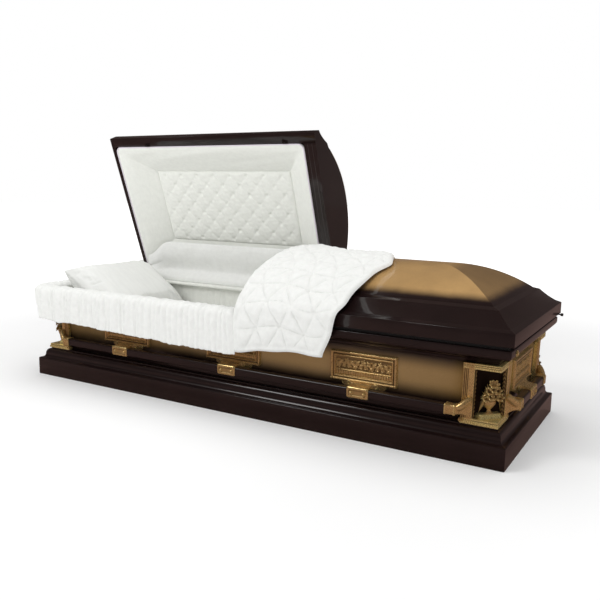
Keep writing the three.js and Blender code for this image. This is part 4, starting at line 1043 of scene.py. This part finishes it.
def build_lid_linings():
    """The head lid's padded surround, piping and tufted panel, and the foot lid's tufted lining."""
    y = HALF_Y - FLANGE_SIDE - FIT
    opening = (-HALF_X + FLANGE_END + FIT, SPLIT_HEAD - SPLIT_FLANGE - FIT, -y, y)
    panel = (-HALF_X + PANEL_HEAD_INSET, SPLIT_HEAD - PANEL_INSET, -HALF_Y + PANEL_INSET,
             HALF_Y - PANEL_INSET)
    count = 420
    outer = around(opening, 26, count)
    x0, x1, y0, y1 = panel
    inner = np.clip(outer, (x0, y0), (x1, y1))
    share = np.linspace(0, 1, 30)[:, None] ** 0.9
    line = spline([(0, 3), (0.03, 0.5), (0.1, 1), (0.3, 9), (0.65, 35), (0.93, 58), (1, 67)], 80)
    s, v = np.linspace(0, 3000, count)[None], share * 230
    puff = (1 - (2 * share - 1) ** 2) * (1.6 * ripples(s, v, 21, 9, 60, 260))
    puff = puff + 2 * smooth(0.02, 0.07, share) * np.exp(-share / 0.06) * np.sin(
        np.pi * (s + 3 * waves(s, 2, 5, 40, 90)) / 15) ** 2
    points = np.zeros((len(share), count, 3))
    points[..., :2] = outer[None] * (1 - share[..., None]) + inner[None] * share[..., None]
    points[..., 2] = LID_Z + np.interp(share, *line.T) - puff
    back = points + (0, 0, 6)
    rings = np.concatenate([points, back[::-1]])
    shape = Shape().grid(rings, wrap_cols=True, wrap_rows=True, u=s, v=np.concatenate([v, v[::-1]]))
    piece("head_lid_surround.cloth", Shape().add(shape, opened), "head_lid", "lining",
                    ["head_lid_surround"], crease=70)
    count = 300
    ring = around(tuple(np.array(opening) + (2.2, -2.2, 2.2, -2.2)), 25, count)
    loop = np.column_stack([ring, np.full(count, LID_Z + 1.5)])
    angle = np.linspace(0, 2 * np.pi, 10, endpoint=False)[None, :, None]
    out = unit(np.roll(loop, -1, 0) - np.roll(loop, 1, 0))[:, [1, 0, 2]] * (1, -1, 1)
    cord = loop[:, None] + CORD_RADIUS * (np.cos(angle) * out[:, None] + np.sin(angle) * (0, 0, 1))
    welt = Shape().grid(cord, wrap_rows=True, wrap_cols=True, u=np.linspace(0, 3000, count)[:, None], v=0.0)
    piece("head_lid_piping.cord", Shape().add(welt, opened), "head_lid", "piping", crease=60)
    pad = pad_over((x0 - 3, x1 + 3, y0 - 3, y1 + 3), low=LID_Z + 60, depth=6, pitch=(96, 45.5),
                   count=(230, 130), roll=16)
    piece("head_lid_tufted_panel.cloth", Shape().add(pad, opened), "head_lid", "lining",
                    ["head_lid_tufted_panel"], crease=70)
    opening = (SPLIT_FOOT + SPLIT_FLANGE + FIT, HALF_X - FLANGE_END - FIT, -y, y)
    pad = pad_over(opening, low=LID_Z + 6, depth=6, pitch=(110, 80), count=(200, 150), roll=22)
    piece("foot_lid_lining.cloth", pad, "foot_lid", "lining", ["foot_lid_lining"],
                    crease=70)


LINING_OUT, LINING_IN = -1.5, -13.5
CORNER_OUT, CORNER_IN = -75.0, -91.97
LINING_FOOT, LINING_TOP = 60, 372
ROLL_HALF_WIDTH, ROLL_HALF_HEIGHT = 14, 9.5


def soft_ring(p, corner, z, count):
    """Evenly spaced points round the inside at an outward distance from the walls, with the corners cut
    off."""
    ring = []
    for name, swap in (("front_head", 0), ("front_foot", 1), ("rear_foot", 0), ("rear_head", 1)):
        pair = at_corner(name)(np.array([(p, corner - p, z), (corner - p, p, z)], float))
        ring += list(pair[::-1] if swap else pair)
    return even(np.array([*ring, ring[0]]), count + 1)[:-1]


def build_body_lining():
    """Shirred cloth on the inside of the walls, with upright folds of |sin|^0.8 that are deeper in the
    middle, and a soft roll along its top."""
    count = 900
    s = np.linspace(0, 5300, count, endpoint=False)
    fold = np.abs(np.sin(np.pi * (s + 8 * waves(s, 31, 6, 60, 300)) / 31.0)) ** 0.8
    levels = np.linspace(LINING_FOOT, LINING_TOP, 16)
    inner = np.array([soft_ring(LINING_IN, CORNER_IN, z, count) for z in levels])
    outer = np.array([soft_ring(LINING_OUT, CORNER_OUT, z, count) for z in levels])
    inward = unit((inner - outer) * (1, 1, 0))
    share = smooth(LINING_FOOT, LINING_FOOT + 30, levels) * (
        1 - 0.7 * smooth(LINING_TOP - 22, LINING_TOP, levels)) * (
        0.5 + 0.5 * np.sin(np.pi * (levels - LINING_FOOT) / (LINING_TOP - LINING_FOOT)))
    inner = inner + inward * (6 * (fold[None] - 0.9) * share[:, None])[..., None]
    top = (inner[-1] + outer[-1]) / 2 + (0, 0, 3.5)
    face = np.concatenate([inner, top[None], outer[::-1]])
    v = np.arange(len(face))[:, None] * 20.0
    shape = Shape().grid(face, wrap_cols=True, wrap_rows=True, u=s[None], v=v)
    count, sides = 640, 20
    line = soft_ring(LINING_IN - 15, CORNER_IN - 21, LINING_TOP - 6, count)
    inward = unit((np.roll(line, -1, 0) - np.roll(line, 1, 0))[:, [1, 0, 2]] * (-1, 1, 0))
    run = np.linspace(0, 5200, count)
    angle = np.linspace(0, 2 * np.pi, sides, endpoint=False)[:, None, None]
    thick = 1 + 0.06 * waves(run, 33, 9, 24, 90) - 0.1 * (1 - np.abs(np.sin(np.pi * run / 40.6)) ** 0.6)
    up = np.array([0, 0, 1.0])
    ring = ROLL_HALF_WIDTH * np.cos(angle) * inward + ROLL_HALF_HEIGHT * np.sin(angle) * up
    shape.grid(line + ring * thick[:, None], wrap_cols=True, wrap_rows=True, u=run[None],
               v=np.arange(sides)[:, None] * 4.0)
    piece("body_lining.cloth", shape, "casket", "lining", ["body_lining"], crease=80)


def build_mattress():
    """A soft slab with round edges and a low crown that rises 3 (1 - share^4) over it."""
    count, high = 420, box("mattress")[1][2]
    low = box("mattress")[0][2]
    section = [(low, 20), (low + 4, 8), (low + 18, 1), ((low + high) / 2, 0), (high - 20, 1), (high - 6, 7),
               (high - 1, 20)]
    rows = [soft_ring(LINING_IN - 10 - inward, CORNER_IN - 20 - inward, z, count) for z, inward in section]
    edge = rows[-1]
    for share in np.linspace(1, 0, 40)[1:-1] ** 0.8:
        ring = (edge - (0, 0, high)) * (share, share, 0) + (0, 0, high - 1 + 3 * (1 - share**4))
        ring[:, 2] += 0.8 * ripples(ring[:, 0], ring[:, 1], 5, 9, 60, 240) * (1 - share**6)
        rows.append(ring)
    rows = np.array(rows)
    shape = Shape().grid(rows, wrap_cols=True, ends=True, u=rows[..., 0], v=rows[..., 1] + rows[..., 2])
    piece("mattress.cloth", shape, "casket", "white", ["mattress"], crease=70)


def pillow_shape():
    """The pillow before it swells: a face and a back over (across, up the slope) that meet in a seam, whose
    corners reach further than its sides. The face is pinched in waves round each corner."""
    low, high = box("pillow")
    a, b = np.meshgrid(np.linspace(-1, 1, 61), np.linspace(-1, 1, 41), indexing="ij")
    foot, head = np.array([high[0] - 22, low[2] + 20]), np.array([low[0] - 2, high[2] + 2])
    y = a * (high[1] - 8) * (1 - 0.06 * (1 - b**4))
    seam = (foot + head) / 2 + (head - foot) / 2 * (b * (1 - 0.05 * (1 - a**4)))[..., None]
    swollen = (np.clip(1 - a**4, 0, 1) * np.clip(1 - b**4, 0, 1)) ** 0.6
    out = unit(np.array([high[2] - low[2], high[0] - low[0]]))
    half_across, half_up = 280, 190
    aside, below = (1 - np.abs(a)) * half_across, (1 - np.abs(b)) * half_up
    far, turn = np.hypot(aside, below), np.arctan2(aside, below + 1e-6)
    pinch = 5 * np.cos(11 * turn + 1.5 * np.sign(a)) * np.exp(-(((far - 75) / 50) ** 2))
    top = seam + out * (62 * swollen + pinch)[..., None]
    under = seam - out * (86 * swollen * (1 - 0.25 * b**2))[..., None]
    face, back = (np.stack([p[..., 0], y, p[..., 1]], -1) for p in (top, under))
    return Shape().grid(face).grid(back[::-1])


def build_pillow():
    """The pillow swells in a cloth simulation and keeps its pinched corners."""
    obj = piece("pillow.cloth", pillow_shape(), "casket", "white", ["pillow"], crease=80,
                weld=0.4)
    swell(obj, voxel=6, cap=14)
    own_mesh(obj)


def point_places(obj):
    """The places of the object's points in metres, a row for each."""
    held = np.zeros(len(obj.data.vertices) * 3)
    obj.data.vertices.foreach_get("co", held)
    return held.reshape(-1, 3)


def swell(obj, voxel, cap, frames=20):
    """Remeshes the piece and blows it up for some frames of cloth, with each point's move capped. Then it
    divides each face once and lays the UV map out as (y, x + z)."""
    scene = bpy.context.scene
    grid = obj.modifiers.new("grid", "REMESH")
    grid.mode, grid.voxel_size = "VOXEL", voxel * MM
    apply_modifiers(obj)
    before = point_places(obj)
    cloth = obj.modifiers.new("cloth", "CLOTH")
    cloth.settings.use_pressure = True
    cloth.settings.uniform_pressure_force = 4.0
    cloth.settings.effector_weights.gravity = 0
    for number in range(1, frames + 1):
        scene.frame_set(number)
    apply_modifiers(obj)
    scene.frame_set(1)
    move = point_places(obj) - before
    far = np.linalg.norm(move, axis=1, keepdims=True)
    move *= np.minimum(1, cap * MM / np.maximum(far, 1e-9))
    obj.data.vertices.foreach_set("co", (before + move).ravel())
    obj.data.polygons.foreach_set("use_smooth", np.ones(len(obj.data.polygons), bool))
    fine = obj.modifiers.new("fine", "SUBSURF")
    fine.levels = fine.render_levels = 1
    apply_modifiers(obj)
    x, y, z = point_places(obj).T
    write_uv(obj.data, np.stack([y, x + z], -1))


def apply_modifiers(obj):
    """Puts what the modifiers make into the object's own mesh."""
    graph = bpy.context.evaluated_depsgraph_get()
    mesh = bpy.data.meshes.new_from_object(obj.evaluated_get(graph), depsgraph=graph)
    obj.modifiers.clear()
    obj.data = mesh


# Cloth over the rim, the hinge line and the foot lid

APRON_START, APRON_ROUND = 57.0, 66.0
APRON_STRAIGHT = APRON_START + HALF_X - APRON_ROUND
APRON_PAST_MIDDLE = 328.5
APRON_BEND, APRON_FOOT = 372, 250


def apron_place(s, inset):
    """x and y on the apron's path, s from the throw along the front, round the corner and along the head."""
    turn = np.clip((s - APRON_STRAIGHT) / APRON_ROUND, 0, np.pi / 2)
    r = APRON_ROUND - inset
    beyond = np.maximum(s - APRON_STRAIGHT - APRON_ROUND * np.pi / 2, 0)
    x = np.where(s < APRON_STRAIGHT, APRON_START - s, -HALF_X + APRON_ROUND - r * np.sin(turn))
    y = np.where(s < APRON_STRAIGHT, inset - HALF_Y, -HALF_Y + APRON_ROUND - r * np.cos(turn) + beyond)
    return x, y


def build_apron():
    """The shirred apron: a section over the rim and down outside it, carried along the front and the head.
    Narrow folds |sin|^0.75 and broad ones |sin|^1.2 of a wandering distance along the path stand out along
    the section's normal. The outer part is drawn in along the head."""
    section = spline([(59, 379), (59, 390), (50, 400), (33, 404), (12, 404), (-3, 401.5), (-14, 393),
                      (-18.5, 378), (-20, 345), (-20.5, 300), (-20, APRON_FOOT)], 54)
    way = unit(np.gradient(section, axis=0))
    normal = np.stack([way[:, 1], -way[:, 0]], -1)
    length = APRON_STRAIGHT + APRON_ROUND * np.pi / 2 + HALF_Y - APRON_ROUND + APRON_PAST_MIDDLE
    wide = 230
    s = np.linspace(0, length, 620)[:, None]
    v = np.linspace(0, 1, len(section))[None]
    hem = 240 + 22 * smooth(0, 1058, s) + 2.2 * waves(s, 3, 7, 110, 500) + 0.9 * waves(s, 4, 5, 24, 60)
    wander = s + 7 * waves(s, 11, 7, 80, 400) + 9 * (v - 0.4) * waves(s, 12, 6, 60, 260)
    pleat = np.abs(np.sin(np.pi * wander / 27.0)) ** 0.75
    broad = np.abs(np.sin(np.pi * (wander + 20) / 83.0)) ** 1.2
    size = 2.5 + 5.5 * smooth(0.06, 0.24, v) * (1 - 0.35 * smooth(0.45, 0.8, v))
    lift = size * (0.75 * pleat + 0.5 * broad) + 0.7 * ripples(s, v * wide, 14, 14, 14, 46)
    lift = lift * smooth(-10, 40, s) - 3
    inset = section[:, 0] + normal[:, 0] * lift
    z = section[:, 1] + normal[:, 1] * lift
    drawn_in = smooth(APRON_STRAIGHT - 30, APRON_STRAIGHT + 80, s) * smooth(20, -14, inset)
    inset = inset + drawn_in * (8 + 15 * smooth(385, APRON_FOOT, z))
    drop = (APRON_BEND - z) * (APRON_BEND - hem) / (APRON_BEND - APRON_FOOT)
    z = np.where(z < APRON_BEND, APRON_BEND - drop, z)
    x, y = apron_place(s + 0 * v, inset)
    shape = Shape().grid(np.stack([x, y, z], -1), u=s, v=v * wide)
    obj = piece("apron.cloth", shape, "casket", "white", ["apron"], crease=80, wall=4.0)
    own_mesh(obj)


def build_rear_flap():
    """The flap over the hinge line: a soft roll from the body's lining up onto the open lid's lining."""
    start = HALF_Y - RIM_INSET - RIM_FLANGE - 4
    x = np.linspace(-HALF_X + 58.5, APRON_START, 260)[:, None]
    full, least, wide = 198.0, 109.0, 240
    share = smooth(-HALF_X + 40, -HALF_X + 230, x)[..., None]
    v = np.linspace(0, 1, 40)[None]
    low = [(start, 372), (start + 2, 392), (start + 14, 408)]
    curves = []
    for rise in (least, full):
        high = [on_open_lid(58, -14), on_open_lid(rise * 0.62, -17), on_open_lid(rise * 0.85, -12),
                on_open_lid(rise, -3)]
        curves.append(spline([*low, *high], v.size)[None])
    points = curves[0] * (1 - share) + curves[1] * share
    way = unit(np.gradient(curves[1][0], axis=0))
    out = np.stack([-way[:, 1], way[:, 0]], -1)
    soft = 2.2 * ripples(x, v * wide, 41, 10, 70, 400) + 1.6 * waves(x, 42, 6, 50, 120) * np.sin(np.pi * v)
    points = points + out * (soft * np.sin(np.pi * v) ** 0.5)[..., None]
    grid = np.concatenate([np.broadcast_to(x[..., None], (*points.shape[:2], 1)), points], -1)
    shape = Shape().grid(grid, u=x, v=v * wide)
    obj = piece("rear_flap.cloth", shape, None, "white", ["rear_flap"], crease=80, wall=5.0)
    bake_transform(obj)


def quilt(u, v, pitch=98.0, row=82.0):
    """Height of a quilt tied at the points of a triangular lattice: each triangle swells by 9.5 (27 l1 l2
    l3)^0.42, where l1 to l3 are a point's three shares in it, less 6 e^(-gap/8) at a gap from a tie."""
    a = v / row
    b = u / pitch - a / 2
    fa, fb = a - np.floor(a), b - np.floor(b)
    upper = fa + fb > 1
    l1, l2 = np.where(upper, 1 - fa, fa), np.where(upper, 1 - fb, fb)
    swollen = np.clip(27 * l1 * l2 * (1 - l1 - l2), 0, 1) ** 0.42
    gap = [np.hypot(pitch * ((fb - cb) + (fa - ca) / 2), row * (fa - ca)) for ca in (0, 1) for cb in (0, 1)]
    near = np.minimum.reduce(gap)
    return 9.5 * swollen - 6 * np.exp(-near / 8.0)


THROW_HEAD = [(-376, 252), (-382, 300), (-383, 350), (-382, 395), (-374, 424), (-338, 463), (-268, 519),
              (-156, 566), (-38, 594), (60, 602), (140, 601), (205, 596), (258, 585)]
THROW_FOOT = [(-374, 278), (-375, 318), (-375, 358), (-374, 400), (-371, 436), (-336, 464), (-286, 504),
              (-215, 547), (-100, 588), (0, 599), (90, 591), (150, 573), (197, 552)]
THROW_REACH = [424, 442, 462, 484, 500, 514, 531, 552, 538, 512, 482, 462, 444]


def build_throw():
    """The quilted throw over the foot lid. Its section runs from a line at the split, where it stands off
    the lid, to one that lies on the lid. It turns down into the body at the split."""
    rows = 370
    head, foot = spline(THROW_HEAD, rows), spline(THROW_FOOT, rows)
    reach = np.interp(np.linspace(0, 1, rows), np.linspace(0, 1, len(THROW_REACH)), THROW_REACH)
    reach = np.convolve(np.pad(reach, 8, "edge"), np.ones(17) / 17, "valid")
    u = np.linspace(0, 1, 124)[:, None]
    fall = smooth(0.0, 0.62, u)[..., None]
    section = head * (1 - fall) + foot * fall
    run = np.concatenate([[0], np.cumsum(np.linalg.norm(np.diff(foot, axis=0), axis=1))])[None]
    left = 56 + 2 * waves(run, 52, 4, 120, 400)
    x = left + (reach + 3 * waves(run, 53, 5, 120, 400) - left) * u
    along = np.gradient(section, axis=1)
    normal = unit(np.stack([-along[..., 1], along[..., 0]], -1))
    across = np.minimum(x - left, x[-1] - x)
    edge = np.minimum(across, np.minimum(run, run[0, -1] - run))
    body = np.sqrt(np.clip(1 - (1 - np.clip(edge / 15, 0, 1)) ** 2, 0, 1))
    quilt_x, quilt_y = x + 18 * waves(run, 54, 3, 300, 700), run + 10 * waves(x, 55, 3, 200, 500)
    puff = quilt(quilt_x, quilt_y) * smooth(4, 40, edge) + ripples(x, run, 56, 12, 24, 90)
    top = body * (9 + puff + 3.5 * np.exp(-(((edge - 10) / 8) ** 2)))
    base = np.concatenate([x[..., None], section], -1)
    base[..., 2] += 2.5 * waves(x, 57, 5, 110, 300) * np.exp(-run / 40)
    up = np.concatenate([np.zeros_like(x)[..., None], normal], -1)
    shape = Shape().grid(base + up * top[..., None], u=x, v=run)
    shape.grid(base - up * (body * 0.8)[..., None], u=x, v=run)
    keep = (head[:, 0] > -290) & (head[:, 0] < 236)
    y, z_top = head[keep][::3, 0], head[keep][::3, 1] - 4
    w = np.linspace(0, 1, 26)[:, None]
    z = z_top + (338 - z_top) * w
    x = 66 + 4 * np.sin(np.pi * w) + 5 * waves(y, 61, 6, 50, 180) * np.sin(0.8 * np.pi * w)
    fold = np.stack([x - 3.2, np.broadcast_to(y, z.shape), z], -1)
    shape.slab(fold, fold + (6.4, 0, 0), u=y[None], v=z)
    obj = piece("quilted_throw.cloth", shape, "foot_lid", "white", ["quilted_throw"],
                crease=80)
    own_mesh(obj)


# Fittings that the frame holds


def finish_frame():
    """The fittings that stay as they are in the frame get their finishes."""
    finishes = {"gasket": "rubber", "bed_deck": "steel", "bottom_pan": "dark_steel", "lid_strap": "brass",
                "lock_cap": "brass", "lid_catch_head": "dark_steel", "lid_catch_middle": "dark_steel"}
    for name, obj in frame["nodes"].items():
        finish = finishes.get(name, "dark_steel" if name.startswith("hinge_") else None)
        if finish:
            for held in obj.material_slots:
                held.material = material(finish)


# Stage


def build_stage():
    """Camera at the photo's place, soft lights and a pale floor."""
    scene = bpy.context.scene
    sizes = scene.casket
    scene.view_settings.view_transform = "Standard"
    turn, tilt, roll = 0.529, 0.160, 0.015
    back = Vector((math.sin(turn) * math.cos(tilt), -math.cos(turn) * math.cos(tilt), math.sin(tilt)))
    side = Vector((math.cos(turn), math.sin(turn), 0))
    over = back.cross(side)
    right = side * math.cos(roll) + over * math.sin(roll)
    up = over * math.cos(roll) - side * math.sin(roll)
    camera = bpy.data.objects.new("camera", bpy.data.cameras.new("camera"))
    camera.data.sensor_width, camera.data.lens = 36.0, 41.90
    camera.matrix_world = Matrix((right, up, back)).transposed().to_4x4()
    camera.location = (1.5262, -2.4220, 0.8513)
    scene.collection.objects.link(camera)
    scene.camera = camera

    world = bpy.data.worlds.new("studio")
    world.use_nodes = True
    scene.world = world
    tree = world.node_tree
    sky = tree.nodes["Background"]
    rays = node(tree, "LightPath").outputs
    high = node(tree, "SeparateXYZ", {"Vector": node(tree, "TexCoord").outputs["Generated"]}).outputs["Z"]
    mirrored = ramp(tree, span(tree, high, -0.1, 0.8), (0.0, (0.17, 0.13, 0.12)),
                    (0.25, (0.06, 0.045, 0.042)), (1.0, (0.12, 0.09, 0.08)))
    glow = mixed(tree, rays["Is Glossy Ray"], (0.62, 0.62, 0.62), mirrored)
    tree.links.new(mixed(tree, rays["Is Camera Ray"], glow, (1, 1, 1)), sky.inputs["Color"])

    for name, place, aim, size, power in (
        ("key", (-1.6, -2.6, 3.0), (0.0, 0.0, 0.4), 1.4, sizes.key_light),
        ("fill", (3.4, -0.6, 2.0), (0.4, 0.0, 0.3), 1.8, sizes.fill_light),
        ("top", (0.0, 0.4, 3.6), (0.0, 0.0, 0.4), 3.0, sizes.top_light),
    ):
        light = bpy.data.objects.new(name, bpy.data.lights.new(name, "AREA"))
        light.data.size, light.data.energy = size, power
        light.location = place
        light.visible_glossy = name == "key"
        light.rotation_euler = (Vector(aim) - Vector(place)).to_track_quat("-Z", "Y").to_euler()
        scene.collection.objects.link(light)

    r, a = np.meshgrid(np.array([0, 1, 2, 3, 5, 8, 14, 30.0]), np.linspace(0, 2 * np.pi, 48, endpoint=False),
                       indexing="ij")
    gap = 0.0005
    disc = Shape().grid(np.stack([r * np.cos(a), r * np.sin(a), 0 * r - gap], -1) / MM, wrap_cols=True)
    floor = bpy.data.objects.new("floor", disc.mesh("floor"))
    pale, tree, shader = start_material("pale_floor", Roughness=0.9, Specular_IOR_Level=0.1)
    mirror = node(tree, "LightPath").outputs["Is Glossy Ray"]
    plain = ramp(tree, noise(tree, 0.7), (0.3, (0.93, 0.93, 0.93)), (0.7, (0.95, 0.95, 0.95)))
    tree.links.new(mixed(tree, mirror, plain, (0.24, 0.15, 0.13)), shader.inputs["Base Color"])
    place = node(tree, "TexCoord").outputs["Object"]
    far = node(tree, "VectorMath", {0: place}, operation="LENGTH").outputs["Value"]
    shader.inputs["Emission Color"].default_value = (1, 1, 1, 1)
    shine = sums(tree, "MULTIPLY", span(tree, far, 1.2, 5.0, 0.04, 0.7), span(tree, mirror, 0, 1, 1.0, 0.0))
    tree.links.new(shine, shader.inputs["Emission Strength"])
    floor.data.materials.append(pale)
    scene.collection.objects.link(floor)


# What the user can set


class CasketSettings(bpy.types.PropertyGroup):
    """Colours, light and the height of the gold on the casket."""

    brown: FloatVectorProperty(name="Brown", description="Colour of the gloss paint", subtype="COLOR",
                               default=(0.0098, 0.0044, 0.0042), min=0, max=1)
    gold: FloatVectorProperty(name="Gold", description="Colour of the airbrushed panels", subtype="COLOR",
                              default=(0.69, 0.42, 0.165), min=0, max=1)
    brass: FloatVectorProperty(name="Brass", description="Colour of the cast fittings", subtype="COLOR",
                               default=(0.82, 0.56, 0.24), min=0, max=1)
    white: FloatVectorProperty(name="White cloth", description="Colour of the apron, throw and pillow",
                               subtype="COLOR", default=(0.84, 0.845, 0.82), min=0, max=1)
    lining: FloatVectorProperty(name="Lining", description="Colour of the lid's lining", subtype="COLOR",
                                default=(0.82, 0.83, 0.78), min=0, max=1)
    crown_start: FloatProperty(name="Gold starts", description="Height where the lid's gold crown starts",
                               default=0.508, unit="LENGTH")
    key_light: FloatProperty(name="Key light", description="Power of the main light", default=46.0,
                             unit="POWER")
    fill_light: FloatProperty(name="Fill light", description="Power of the light from the foot end",
                              default=22.0, unit="POWER")
    top_light: FloatProperty(name="Top light", description="Power of the light from above", default=30.0,
                             unit="POWER")


class CASKET_OT_stage(bpy.types.Operator):
    """Adds the camera, the lights and the floor."""
    bl_idname = "casket.stage"
    bl_label = "Stage"

    def execute(self, context):
        build_stage()
        return {"FINISHED"}


class CASKET_OT_frame(bpy.types.Operator):
    """Gives the fittings that stay in the frame their finishes."""
    bl_idname = "casket.frame"
    bl_label = "Frame fittings"

    def execute(self, context):
        finish_frame()
        return {"FINISHED"}


class CASKET_OT_body_shell(bpy.types.Operator):
    """Adds the base moulding, the walls and the rim."""
    bl_idname = "casket.body_shell"
    bl_label = "Body shell"

    def execute(self, context):
        build_body_shell()
        return {"FINISHED"}


class CASKET_OT_lids(bpy.types.Operator):
    """Adds both lids with their headers."""
    bl_idname = "casket.lids"
    bl_label = "Lids"

    def execute(self, context):
        build_lids()
        return {"FINISHED"}


class CASKET_OT_bars(bpy.types.Operator):
    """Adds the four carrying bars."""
    bl_idname = "casket.bars"
    bl_label = "Bars"

    def execute(self, context):
        build_bars()
        return {"FINISHED"}


class CASKET_OT_brackets(bpy.types.Operator):
    """Adds the eight cast brackets."""
    bl_idname = "casket.brackets"
    bl_label = "Brackets"

    def execute(self, context):
        build_brackets()
        return {"FINISHED"}


class CASKET_OT_corners(bpy.types.Operator):
    """Adds the corner castings and their ornaments."""
    bl_idname = "casket.corners"
    bl_label = "Corners"

    def execute(self, context):
        build_corners()
        return {"FINISHED"}


class CASKET_OT_lid_linings(bpy.types.Operator):
    """Adds the linings of both lids."""
    bl_idname = "casket.lid_linings"
    bl_label = "Lid linings"

    def execute(self, context):
        build_lid_linings()
        return {"FINISHED"}


class CASKET_OT_bedding(bpy.types.Operator):
    """Adds the body lining, the mattress and the pillow."""
    bl_idname = "casket.bedding"
    bl_label = "Bedding"

    def execute(self, context):
        build_body_lining()
        build_mattress()
        build_pillow()
        return {"FINISHED"}


class CASKET_OT_drapes(bpy.types.Operator):
    """Adds the apron, the rear flap and the quilted throw."""
    bl_idname = "casket.drapes"
    bl_label = "Drapes"

    def execute(self, context):
        build_apron()
        build_rear_flap()
        build_throw()
        return {"FINISHED"}


OPERATORS = [CASKET_OT_stage, CASKET_OT_frame, CASKET_OT_body_shell, CASKET_OT_lids, CASKET_OT_bars,
             CASKET_OT_brackets, CASKET_OT_corners, CASKET_OT_lid_linings, CASKET_OT_bedding,
             CASKET_OT_drapes]


class CASKET_PT_panel(bpy.types.Panel):
    """Lists the casket's settings and operators in the sidebar."""
    bl_label = "Casket"
    bl_idname = "CASKET_PT_panel"
    bl_space_type = "VIEW_3D"
    bl_region_type = "UI"
    bl_category = "Casket"

    def draw(self, context):
        for key in CasketSettings.__annotations__:
            self.layout.prop(context.scene.casket, key)
        for made in OPERATORS:
            self.layout.operator(made.bl_idname)


CLASSES = [CasketSettings, *OPERATORS, CASKET_PT_panel]


def register():
    for cls in CLASSES:
        bpy.utils.register_class(cls)
    bpy.types.Scene.casket = PointerProperty(type=CasketSettings)


def unregister():
    del bpy.types.Scene.casket
    for cls in reversed(CLASSES):
        bpy.utils.unregister_class(cls)


def main():
    register()
    for made in OPERATORS:
        getattr(bpy.ops.casket, made.bl_idname.split(".")[1])()


if __name__ == "__main__":
    main()
